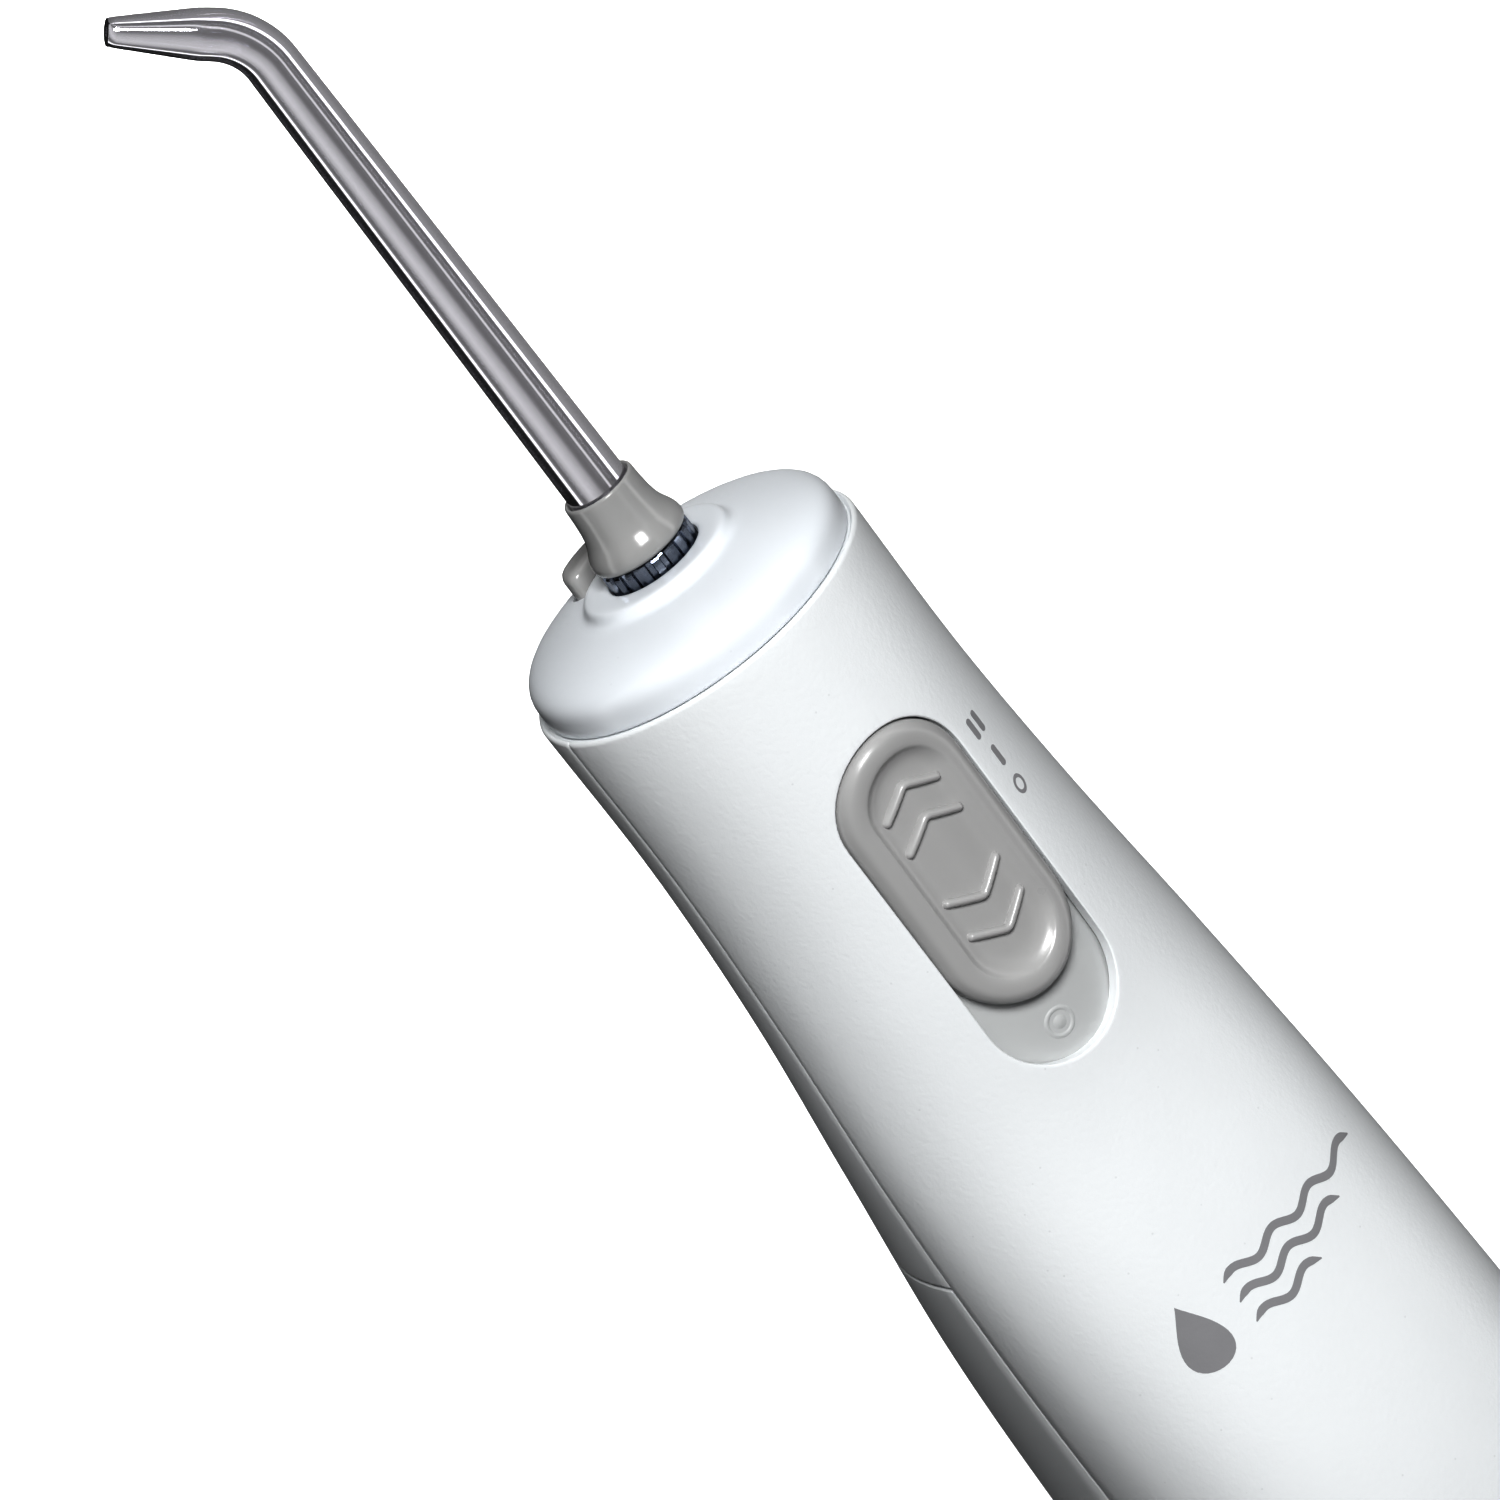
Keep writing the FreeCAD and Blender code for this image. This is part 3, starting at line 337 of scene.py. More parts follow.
def ringed(name, rings, smooth_angle=35):
    """A closed piece from matching rings of points in mm, capped at both ends."""
    columns = len(rings[0])
    points = [place(*p) for ring in rings for p in ring]
    faces = grid_faces(len(rings), columns)
    faces.append(tuple(range(columns)))
    faces.append(tuple((len(rings) - 1) * columns + c for c in range(columns)))
    return new_object(name, points, faces, smooth_angle)


def surface_cutter(name, outline, side, lip, depth):
    """A tool that cuts an outline into the body, rounding the lip of the cut."""
    rings = []
    steps = ((lip + 1.2, -1.2), (lip, 0.0), (lip * 0.45, lip * 0.12), (lip * 0.12, lip * 0.45), (0.0, lip),
             (0.0, depth))
    for grow, drop in steps:
        rings.append([(x, side * (depth_at(x, z, side) - drop), z) for x, z in outline(grow)])
    far = [(x, side * 60.0, z) for x, y, z in rings[0]]
    return ringed(name, [far] + rings)


def surface_patch(name, outline, side, proud, thick, edge, reach, rings_in=6):
    """A plate that follows the body's surface inside an outline, with a rounded edge.
    The reach is how far the outline can shrink before it closes up."""
    steps = [(0.0, proud - thick), (0.0, proud - edge), (-edge * 0.12, proud - edge * 0.45),
             (-edge * 0.45, proud - edge * 0.12), (-edge, proud)]
    steps += [(-edge - (reach - edge) * i / rings_in, proud) for i in range(1, rings_in + 1)]
    under = [(-reach * i / rings_in, proud - thick) for i in range(rings_in, 0, -1)]
    rings = []
    for grow, lift in under + steps:
        rings.append([(x, side * (depth_at(x, z, side) + lift), z) for x, z in outline(grow)])
    return ringed(name, rings)


def moved(outline, dx, dz):
    return lambda grow: [(x + dx, z + dz) for x, z in outline(grow)]


def recess_outline(grow):
    return [(x + SWITCH_X, z) for x, z in stadium_outline(RECESS_HALF, RECESS[0], RECESS[1], grow)]


# Features of the shells --------------------------------------------------------------------------
DOOR_HALF = 8.0
DOOR_Z = (88.0, 106.0)
HINGE_Y = 37.93 - 2.2  # a little inside the body's back at the hinge's height
HINGE_R = 1.4
EAR_X = 9.55
PIN_HOLE_R, PIN_END = 0.8, 10.7
RELEASE_Z = 127.0
PORT = (8.9, 110.5)  # across and height
PORT_R = 2.6
SCREW = (14, 7)  # across and back
SCREW_HEAD_R, SCREW_R = 2.6, 1.3
RELEASE_HALF = 4.0
RELEASE_END = 7.0
SCOOP_R = 9.0
SCOOP_DEPTH = 1.0
SCOOP_Z = DOOR_Z[1] + 2.0


def release_outline(grow):
    """The button lies on its side, so its outline's two ways are swapped."""
    outline = stadium_outline(RELEASE_HALF, -RELEASE_END, RELEASE_END, grow, straight=6)
    return [(z, x + RELEASE_Z) for x, z in outline]


def rod(name, radius, start, end, segments=48):
    """A plain closed cylinder between two points in mm."""
    start, end = Vector(start), Vector(end)
    turn = (end - start).to_track_quat("Z", "Y")
    around = [turn @ Vector(point) for point in circle(radius, 0, segments)]
    return ringed(name, [[tuple(centre + point) for point in around] for centre in (start, end)])


def ball(name, radius, centre, rings=40, segments=80):
    """A plain closed sphere about a point in mm."""
    rows = []
    for r in range(1, rings):
        rise = math.pi * r / rings
        level = circle(radius * math.sin(rise), -radius * math.cos(rise), segments)
        rows.append([tuple(c + p for c, p in zip(centre, point)) for point in level])
    return ringed(name, rows)


RIM_ROUND = (0.45, 0.55)
FOOT_ROUND = (3.5, 3.5)
EDGE_ROUND = (0.35, 0.35)


def slope_rim(shell):
    """Cuts the top edge of a shell to a narrow lip that slopes in towards the cap."""
    floor_z, top = RIM_MM - 0.35, RIM_MM + 2
    profile = [(19.5, floor_z), (21.1, floor_z), (21.55, RIM_MM + 0.01), (21.55, top), (19.5, top)]
    return combine(shell, turned("cut", profile, RIM_SEGMENTS), "DIFFERENCE")


def front_shell():
    """The front of the body, open at the back, with the switch's recess."""
    shell = half_solid("front_shell", rounded_rows(0, RIM_MM, FOOT_ROUND, RIM_ROUND), -1, 0.0)
    combine(shell, half_solid("inner", inner_rows(WALL, RIM_MM + 2, WALL), -1, 1.0), "DIFFERENCE")
    combine(shell, surface_cutter("recess", recess_outline, -1, 0.4, 8.0), "DIFFERENCE")
    slope_rim(shell)
    finish_shading(shell, 30)
    return shell


def release_hole_outline(grow):
    return release_outline(grow + 0.2)


def rear_shell():
    """The back of the neck, with the release button's hole and two screw holes under its edge."""
    low = BAY_TOP / MM
    shell = half_solid("rear_shell", rounded_rows(low, RIM_MM, EDGE_ROUND, RIM_ROUND), 1, 0.0)
    combine(shell, half_solid("inner", inner_rows(low + WALL, RIM_MM + 2, WALL), 1, -1.0), "DIFFERENCE")
    combine(shell, surface_cutter("cut", release_hole_outline, 1, 0.3, 6.0), "DIFFERENCE")
    slope_rim(shell)
    for x in (-SCREW[0], SCREW[0]):
        y = SCREW[1]
        combine(shell, rod("cut", SCREW_HEAD_R, (x, y, low - 1), (x, y, low + 1.1)), "DIFFERENCE")
        combine(shell, rod("cut", SCREW_R, (x, y, low + 1), (x, y, low + 3)), "DIFFERENCE")
    finish_shading(shell, 30)
    return shell


def door_outline(grow):
    middle = (DOOR_Z[0] + DOOR_Z[1]) / 2
    half = (DOOR_Z[1] - DOOR_Z[0]) / 2
    return [(x, z + middle) for x, z in box_outline(DOOR_HALF, half, 1.6, grow)]


def door_hole_outline(grow):
    """The opening is a little larger than the door, with room for its hinge below."""
    low, high = DOOR_Z[0] - 2.6, DOOR_Z[1] + 0.25
    return [(x, z + (low + high) / 2)
            for x, z in box_outline(DOOR_HALF + 0.25, (high - low) / 2, 1.2, grow)]


def tank_shell():
    """The reservoir, with its door's opening and hinge, its port and a finger scoop."""
    top = TANK_TOP / MM
    shell = half_solid("tank_shell", rounded_rows(0, top, FOOT_ROUND, EDGE_ROUND), 1, 0.3)
    combine(shell, half_solid("inner", inner_rows(WALL, top - WALL, WALL), 1, 2.1), "DIFFERENCE")
    combine(shell, surface_cutter("cut", door_hole_outline, 1, 0.3, 12.0), "DIFFERENCE")
    combine(shell, rod("cut", PORT_R, (PORT[0], -2, PORT[1]), (PORT[0], 5, PORT[1])), "DIFFERENCE")
    scoop = (0, depth_at(0, SCOOP_Z, 1) + SCOOP_R - SCOOP_DEPTH, SCOOP_Z)
    combine(shell, ball("cut", SCOOP_R, scoop), "DIFFERENCE")
    for x in (-EAR_X, EAR_X):
        ear = slab("ear", (x - 1.2, x + 1.2), (HINGE_Y - 2.0, HINGE_Y + 0.9), (DOOR_Z[0] - 3, DOOR_Z[0] + 2))
        combine(shell, ear, "UNION")
    pin_hole = rod("cut", PIN_HOLE_R, (-PIN_END, HINGE_Y, DOOR_Z[0]), (PIN_END, HINGE_Y, DOOR_Z[0]))
    combine(shell, pin_hole, "DIFFERENCE")
    finish_shading(shell, 30)
    return shell


def grip_line(half_x, half_z, x, z, proud, edge):
    """A raised line on the back of the body, for a finger."""
    outline = moved(lambda grow: box_outline(half_x, half_z, 0.34, grow, 4, 4), x, z)
    return surface_patch("grip", outline, 1, proud, 0.5, edge, reach=0.33, rings_in=3)


def fill_door():
    """The door's leaf, with its hinge barrel below and three grip lines."""
    leaf = surface_patch("fill_door_leaf", door_outline, side=1, proud=-0.05, thick=WALL, edge=0.35,
                         reach=DOOR_HALF - 0.1)
    barrel = rod("barrel", HINGE_R, (-DOOR_HALF, HINGE_Y, DOOR_Z[0]), (DOOR_HALF, HINGE_Y, DOOR_Z[0]))
    foot = slab("foot", (-DOOR_HALF + 0.3, DOOR_HALF - 0.3), (HINGE_Y - 1.0, HINGE_Y + 1.0),
                (DOOR_Z[0] + 0.4, DOOR_Z[0] + 3.6))
    grip = [grip_line(3.6, 0.35, 0, z, proud=0.22, edge=0.2) for z in (100.6, 102.2, 103.8)]
    join(leaf, [barrel, foot] + grip)
    finish_shading(leaf, 35)
    return leaf


def release_button():
    """The button's face, which follows the body, with three grip lines."""
    cap = surface_patch("release_face", release_outline, side=1, proud=0.35, thick=3.2, edge=0.5, reach=3.9)
    grip = [grip_line(0.35, 2.2, x, RELEASE_Z, proud=0.6, edge=0.22) for x in (-2.4, 0, 2.4)]
    join(cap, grip)
    finish_shading(cap, 35)
    return cap


# Cap, ring, collar and tip -----------------------------------------------------------------------
CAP_R = 21.0
CAP_HOLE = 6.2
BOSS_TOP = 8.6
EJECT = (5.8, 2.1, 12.2)  # half its width, half its depth, and how far behind the axis
EJECT_CORNER = 1.9


def cap_profile():
    """Outer line of the cap from its lower edge to the boss's hole, as radius and height over the rim."""
    line = [(20.0, -0.2), (20.65, -0.2)] + arc_points(20.65, 0.15, 0.35, -90, 0, 5)[1:]
    shoulder = [(CAP_R, 1.4), (CAP_R, 2.1), (20.95, 2.7), (20.8, 3.3), (20.5, 3.87), (20.03, 4.38),
                (19.35, 4.86), (18.4, 5.33)]
    dome = [(17.1, 5.82), (15.6, 6.25), (14.0, 6.62), (12.9, 6.83), (12.1, 6.97), (11.4, 7.07)]
    boss_foot = [(10.9, 7.15), (10.5, 7.27), (10.22, 7.46), (10.02, 7.72)]
    boss_edge = [(9.87, 8.02), (9.72, 8.3), (9.48, 8.5), (9.1, 8.585)]
    boss_face = [(8.3, BOSS_TOP), (7.2, BOSS_TOP), (6.6, BOSS_TOP), (6.35, BOSS_TOP - 0.07),
                 (CAP_HOLE, BOSS_TOP - 0.22)]
    return line + shoulder + dome + boss_foot + boss_edge + boss_face


def top_cap():
    """The cap, with the slot that the eject button stands in."""
    outer = [(r, z + RIM_MM) for r, z in cap_profile()]
    under = [(CAP_HOLE, 7.0), (17.2, 4.4), (19.2, 3.0), (19.4, 1.0)]
    skirt = [(18.2, 1.0), (18.2, -5.5), (19.45, -5.5), (19.45, -0.2)]
    cap = turned("cap_dome", outer + [(r, z + RIM_MM) for r, z in under + skirt], RIM_SEGMENTS)
    half_x, half_y, y = EJECT
    outline = box_outline(half_x, half_y, EJECT_CORNER, 0.2)
    slot = ringed("cut", [[(a, b + y, RIM_MM + rise) for a, b in outline] for rise in (-2, 12)])
    combine(cap, slot, "DIFFERENCE")
    finish_shading(cap, 40)
    return cap


def knurled_ring():
    """A ring of flat facets with a narrow groove between each two."""
    low, high = RIM_MM + 7.0, RING_HIGH.z / MM
    teeth, outer, groove = 20, 5.95, 5.6
    bore, skirt, flange = 3.5, 5.4, 7.2
    facets = ((-0.38, outer), (0.12, outer), (0.2, groove), (0.54, groove))
    rings = []
    for inset, z in ((0.25, low), (0.0, low + 0.25), (0.0, high - 0.3), (0.12, high - 0.08), (0.3, high)):
        ring = []
        for i in range(teeth):
            for share, radius in facets:
                angle = 2 * math.pi * (i + share) / teeth
                ring.append(((radius - inset) * math.cos(angle), (radius - inset) * math.sin(angle), z))
        rings.append(ring)
    flange_low, flange_high = RIM_MM + 3.5, RIM_MM + 5.1
    plain = [(bore, high), (bore, flange_low), (flange, flange_low), (flange, flange_high),
             (skirt, flange_high), (skirt, low)]
    rings += [circle(radius, z, teeth * len(facets)) for radius, z in plain]
    return looped("ring_facets", rings, 25)


def tip_collar():
    """The collar: a bell in heights over its base, and a lip in depths under its top."""
    base, top = COLLAR_LOW.z / MM, COLLAR_HIGH.z / MM
    bell = [(3.9, 0), (5.45, 0), (5.75, 0.05), (5.97, 0.18), (6.12, 0.42), (6.19, 0.75), (6.19, 1.1),
            (6.12, 1.5), (5.97, 1.95), (5.76, 2.4), (5.52, 2.85), (5.3, 3.3), (5.12, 3.8), (4.97, 4.4),
            (4.85, 5.1), (4.76, 5.9), (4.69, 6.8), (4.64, 7.7)]
    lip = [(4.61, 0.5), (4.57, 0.22), (4.46, 0.06), (4.34, 0), (4.2, 0.05), (4.1, 0.22), (4.06, 0.9),
           (3.9, 1.1)]
    outer = [(r, base + rise) for r, rise in bell] + [(r, top - drop) for r, drop in lip]
    return turned("collar_bell", outer, smooth_angle=45)


BEND_R = 9.0
BEND_TURN = math.radians(50)
CORNER = 86.4
NOZZLE = 16.2
NOZZLE_TAPER = 16.0
JET = 0.6
SHANK_BORE = 1.3
TIP_BORE = 0.62  # share of the tube's outer radius
NOZZLE_WAY = Vector((math.cos(math.radians(159)), math.sin(math.radians(159)), 0))


def tip_line(count_bend=28):
    """Points down the tip's centre line with their directions and distances along it, in mm."""
    lead = BEND_R * math.tan(BEND_TURN / 2)
    low, bend = TIP_LOW.z / MM, RIM_MM + CORNER - lead
    line = []
    collar_top = RIM_MM + 19.4
    stations = [low, low + 12, RIM_MM + 6, RIM_MM + 14]
    stations += [collar_top + (bend - collar_top) * i / 12 for i in range(13)]
    for z in stations:
        line.append((Vector((0, 0, z)), 0.0, z - RIM_MM))
    for i in range(1, count_bend + 1):
        angle = BEND_TURN * i / count_bend
        centre = Vector((0, 0, bend)) + NOZZLE_WAY * (BEND_R * (1 - math.cos(angle)))
        centre += Vector((0, 0, BEND_R * math.sin(angle)))
        line.append((centre, angle, bend - RIM_MM + BEND_R * angle))
    last, angle, along = line[-1]
    way = NOZZLE_WAY * math.sin(BEND_TURN) + Vector((0, 0, math.cos(BEND_TURN)))
    straight = NOZZLE - lead
    for i in range(1, 15):
        line.append((last + way * straight * i / 14, angle, along + straight * i / 14))
    return line


def tip_radius(along, end):
    """The tip's outer radius at a distance from the rim: a long taper, then a quicker one to the nozzle."""
    shank, tube = 3.3, 3.85
    knots = [(-20, shank), (10.5, shank), (10.8, tube), (19.6, tube), (70, 3.35), (82, 3.2), (92, 2.98),
             (end - 6, 2.45), (end - 0.9, 1.78), (end, 1.6)]
    for (a, r), (b, q) in zip(knots, knots[1:]):
        if along <= b:
            return r + (q - r) * max(along - a, 0) / (b - a)
    return knots[-1][1]


def jet_tip():
    """The tube: its outside up to the nozzle, then its bore back down."""
    line = tip_line()
    end = line[-1][2]
    side = Vector((0, 0, 1)).cross(NOZZLE_WAY)
    segments = 64
    rings = []

    def ring(station, radius, shift=0.0):
        centre, angle, along = station
        turn = Matrix.Rotation(angle, 3, side)
        return [tuple(centre + turn @ Vector(point)) for point in circle(radius, shift, segments)]

    for station in line:
        rings.append(ring(station, tip_radius(station[2], end)))
    for radius, proud in ((1.5, 0.06), (1.2, 0.08), (0.75, 0.08)):
        rings.append(ring(line[-1], radius, proud))
    for station in reversed(line[2:]):
        taper = min(max((end - station[2]) / NOZZLE_TAPER, 0.0), 1.0)
        rings.append(ring(station, JET + (TIP_BORE * tip_radius(station[2], end) - JET) * taper ** 0.6))
    for station in reversed(line[:2]):
        rings.append(ring(station, SHANK_BORE))
    return looped("tip_tube", rings, 50)


def eject_button():
    """A tab bowed round the boss, with its ends a little lower than its middle."""
    half_x, half_y, y = EJECT
    base, top = RIM_MM + 3.0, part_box("eject_button")[1].z / MM
    bow, droop = 0.035, 0.012
    rings = []
    for grow, z in ((0.0, base), (0.0, top - 1.0), (-0.08, top - 0.6), (-0.3, top - 0.28),
                    (-0.65, top - 0.08), (-1.1, top), (-1.6, top - 0.02), (-2.0, top - 0.02)):
        ring = []
        for a, b in box_outline(half_x, half_y, EJECT_CORNER, grow):
            ring.append((a, b + y - a * a * bow + 0.35, z - a * a * droop))
        rings.append(ring)
    return ringed("eject_tab", rings, 40)


# Slide switch ------------------------------------------------------------------------------------
SLIDER_HALF = 9.0
SLIDER_Z = (145.3, 183.1)
SLIDER_BASE = 19.6
SLIDER_EDGE = 22.08
DISH_FLOOR = 20.5


def on_neck(x, z, radius):
    """A place on the round neck for the switch pieces, leaning with its front."""
    return lean((x, -math.sqrt(max(radius * radius - x * x, 0.0)), z))


def leaning_block(name, half, z, y):
    """A block that leans with the switch: half its width, its two heights and its two depths."""
    outline = ((-half, z[0]), (half, z[0]), (half, z[1]), (-half, z[1]))
    return ringed(name, [[lean((x, depth, height)) for x, height in outline] for depth in y])


def slider_outline(grow):
    outline = stadium_outline(SLIDER_HALF, SLIDER_Z[0], SLIDER_Z[1], grow, 40, 24)
    return [(x + SWITCH_X, z) for x, z in outline]


def ridge(path, half_width, base, height):
    """A rounded rib along a path of (x, z) points, standing on the dish."""
    fine = []
    for (ax, az), (bx, bz) in zip(path, path[1:]):
        length = math.hypot(bx - ax, bz - az)
        steps = max(int(length / 0.25), 1)
        fine += [(ax + (bx - ax) * i / steps, az + (bz - az) * i / steps) for i in range(steps)]
    fine.append(path[-1])
    total = sum(math.dist(a, b) for a, b in zip(fine, fine[1:]))
    rings, run = [], 0.0
    around = 16
    for i, (x, z) in enumerate(fine):
        if i:
            run += math.dist(fine[i - 1], fine[i])
        before, after = fine[max(i - 1, 0)], fine[min(i + 1, len(fine) - 1)]
        way = Vector((after[0] - before[0], after[1] - before[1])).normalized()
        near = min(run, total - run)
        share = 1.0 if near >= half_width else math.sqrt(max(1 - (1 - near / half_width) ** 2, 0.0016))
        ring = []
        for k in range(around):
            angle = 2 * math.pi * k / around
            across = half_width * share * math.cos(angle)
            lift = height * share * math.sin(angle)
            ring.append(on_neck(x - way.y * across, z + way.x * across, base + lift))
        rings.append(ring)
    return ringed("rib", rings, 60)


def chevron(point_z, way):
    """A rounded rib with two arms that run down from its point, or up when the way is -1."""
    arm_x, arm_z = 4.6, 2.6
    path = [(-arm_x, -arm_z), (-0.55, -0.3), (-0.2, -0.14), (0.2, -0.14), (0.55, -0.3), (arm_x, -arm_z)]
    return ridge([(x + SWITCH_X, point_z + way * z) for x, z in path], 0.58, DISH_FLOOR, 0.85)


def slide_switch():
    """The slider: a bright outer bevel, a level rim and a bowl with four chevrons in it."""
    under = [(-8.9, SLIDER_BASE), (-5.0, SLIDER_BASE), (0.0, SLIDER_BASE)]
    bevel = [(0.0, 21.0), (-0.06, 21.22), (-0.3, 21.52), (-0.62, 21.8), (-0.85, 21.95), (-1.1, 22.04)]
    rim = [(-1.4, SLIDER_EDGE), (-1.9, SLIDER_EDGE), (-2.4, 22.02), (-2.75, 21.94), (-2.95, 21.85)]
    bowl = [(-3.1, 21.7), (-3.35, 21.45), (-3.7, 21.16), (-4.15, 20.9), (-4.7, 20.7), (-5.3, 20.58),
            (-6.0, 20.52)]
    dish = [(-6.8, DISH_FLOOR), (-7.6, DISH_FLOOR), (-8.4, DISH_FLOOR), (-8.9, DISH_FLOOR)]
    rings = []
    for grow, radius in under + bevel + rim + bowl + dish:
        rings.append([on_neck(x, z, radius) for x, z in slider_outline(grow)])
    pad = ringed("slider_pad", rings, 60)
    ribs = [chevron(RIM_MM - drop, 1) for drop in (23.9, 28.6)]
    ribs += [chevron(RIM_MM - drop, -1) for drop in (40.9, 46.0)]
    join(pad, ribs + [leaning_block("stem", 2.4, (160, 172), (-20.2, -16.9))])
    finish_shading(pad, 60)
    return pad


TRACK_TOP = 19.4
DIMPLE = (-2.2, RIM_MM - 59.7)


def switch_track():
    """The floor of the recess, with a ringed dimple near its lower end."""
    steps = [(-9.15, 18.2), (0.9, 18.2), (0.9, 19.35)]
    steps += [(grow, TRACK_TOP) for grow in (0.6, -2.0, -4.0, -6.0, -8.0, -9.15)]
    rings = [[on_neck(x, z, radius) for x, z in recess_outline(grow)] for grow, radius in steps]
    plate = ringed("track_floor", rings, 50)
    combine(plate, leaning_block("cut", 2.6, (150.7, 172.3), (-21, -16)), "DIFFERENCE")
    profile = ((2.05, 19.0), (2.05, 19.36), (1.95, 19.42), (1.8, 19.5), (1.6, 19.52), (1.45, 19.44),
               (1.3, 19.36), (1.1, 19.3), (0.9, 19.38), (0.6, 19.5), (0.3, 19.56), (0.05, 19.58))
    rings = []
    for radius, height in profile:
        around = circle(radius, 0, 40)
        rings.append([on_neck(DIMPLE[0] + across, DIMPLE[1] + up, height) for across, up, level in around])
    join(plate, [ringed("dimple", rings, 60)])
    finish_shading(plate, 50)
    return plate


# Printed marks -----------------------------------------------------------------------------------
INK = 0.035  # how far the print stands off the body
SUNK = -0.1  # where its underside lies, inside the wall


def printed_at(x, z, lift):
    """A point on the front of the body, lifted off it."""
    return (x, -(depth_at(x, z, -1) + lift), z)


def printed_bar(x, z, half_z=1.45, half_x=0.42):
    outline = moved(lambda grow: box_outline(half_x, half_z, half_x * 0.98, grow, 6, 4), x, z)
    return surface_patch("bar", outline, -1, INK, INK - SUNK, edge=0.02, reach=half_x - 0.02, rings_in=2)


def printed_ribbon(path, half_width):
    """A printed line along (x, z) points, narrower at its ends."""
    section = [(-1, SUNK), (-1, INK), (-0.5, INK), (0, INK), (0.5, INK), (1, INK), (1, SUNK), (0, SUNK)]
    rings = []
    for i, (x, z) in enumerate(path):
        before, after = path[max(i - 1, 0)], path[min(i + 1, len(path) - 1)]
        way = Vector((after[0] - before[0], after[1] - before[1])).normalized()
        share = min(1.0, 0.15 + min(i, len(path) - 1 - i) / 4)
        ring = []
        for across, lift in section:
            px, pz = x - way.y * across * half_width * share, z + way.x * across * half_width * share
            ring.append(printed_at(px, pz, lift))
        rings.append(ring)
    return ringed("line", rings, 50)


def position_marks():
    """Two bars, one bar and a ring beside the switch's three positions."""
    x, z = 11.7, RIM_MM - 26.4
    low = z - 9.0
    half_x, half_z, hollow = 0.95, 1.25, 0.62
    bars = [printed_bar(x - 0.7, z), printed_bar(x + 0.7, z), printed_bar(x, z - 4.6)]
    loop = []
    for share, lift in ((1.0, SUNK), (1.0, INK), (hollow, INK), (hollow, SUNK)):
        row = []
        for t in range(24):
            angle = math.pi * t / 12
            across, up = half_x * share * math.cos(angle), half_z * share * math.sin(angle)
            row.append(printed_at(x + across, low + up, lift))
        loop.append(row)
    bars.append(looped("nought", loop))
    marks = join(bars[0], bars[1:])
    marks.name = "position_marks"
    return marks


def emblem():
    """A plain water drop with three ripples beside it."""
    cx, cz, size = -13.5, RIM_MM - 98.5, 1.25
    drop = []
    for i in range(40):
        t = 2 * math.pi * i / 40
        drop.append((size * 3.25 * math.sin(t) * math.sin(t / 2) ** 1.4, size * 3.7 * math.cos(t)))
    shapes = []
    rings = []
    for share, lift in ((1.0, SUNK), (1.0, INK), (0.75, INK), (0.5, INK), (0.25, INK), (0.05, INK)):
        rings.append([printed_at(cx + x * share, cz + z * share, lift) for x, z in drop])
    shapes.append(ringed("drop", rings))
    start, wave_high, wave_long, apart = cx + 6.0, 0.65, 7.0, 3.0
    for k, length in enumerate((25.0, 18.0, 11.0)):
        steps = int(length * 3)
        path = []
        for i in range(steps + 1):
            run = length * i / steps
            rise = wave_high * math.sin(2 * math.pi * run / wave_long)
            path.append((start + run, cz + apart * (1 - k) + rise))
        shapes.append(printed_ribbon(path, 0.5))
    mark = join(shapes[0], shapes[1:])
    mark.name = "emblem"
    return mark


# Materials -------------------------------------------------------------------------------------
PLASTIC_IOR, CLEAR_IOR = 1.5, 1.49
COAT_ROUGH = 0.05
ROUGH_SPREAD = 0.05
CLOUD_SCALE, SMUDGE_SCALE, SPECK_SCALE, FLOW_SCALE = 60.0, 140.0, 330.0, 260.0
SPECK_EDGE = (0.030, 0.055)
SPECK_SHADE = 0.55


def add(tree, kind, **inputs):
    """A node with some of its inputs set."""
    node = tree.nodes.new(kind)
    for key, value in inputs.items():
        node.inputs[key.replace("_", " ")].default_value = value
    return node


def ramp(tree, source, places, colours):
    """The colour that a value stands for, between two places."""
    node = tree.nodes.new("ShaderNodeValToRGB")
    for stop, where, colour in zip(node.color_ramp.elements, places, colours):
        stop.position = where
        stop.color = list(colour) + [1]
    tree.links.new(source, node.inputs["Fac"])
    return node.outputs["Color"]


def scaled(tree, source, factor):
    """A value times a fixed number."""
    node = tree.nodes.new("ShaderNodeMath")
    node.operation = "MULTIPLY"
    node.inputs[1].default_value = factor
    tree.links.new(source, node.inputs[0])
    return node.outputs[0]


def emboss(tree, height, shader, strength, distance):
    """Raises a shader's surface by a texture."""
    bump = add(tree, "ShaderNodeBump", Strength=strength, Distance=distance)
    tree.links.new(height, bump.inputs["Height"])
    tree.links.new(bump.outputs["Normal"], shader.inputs["Normal"])


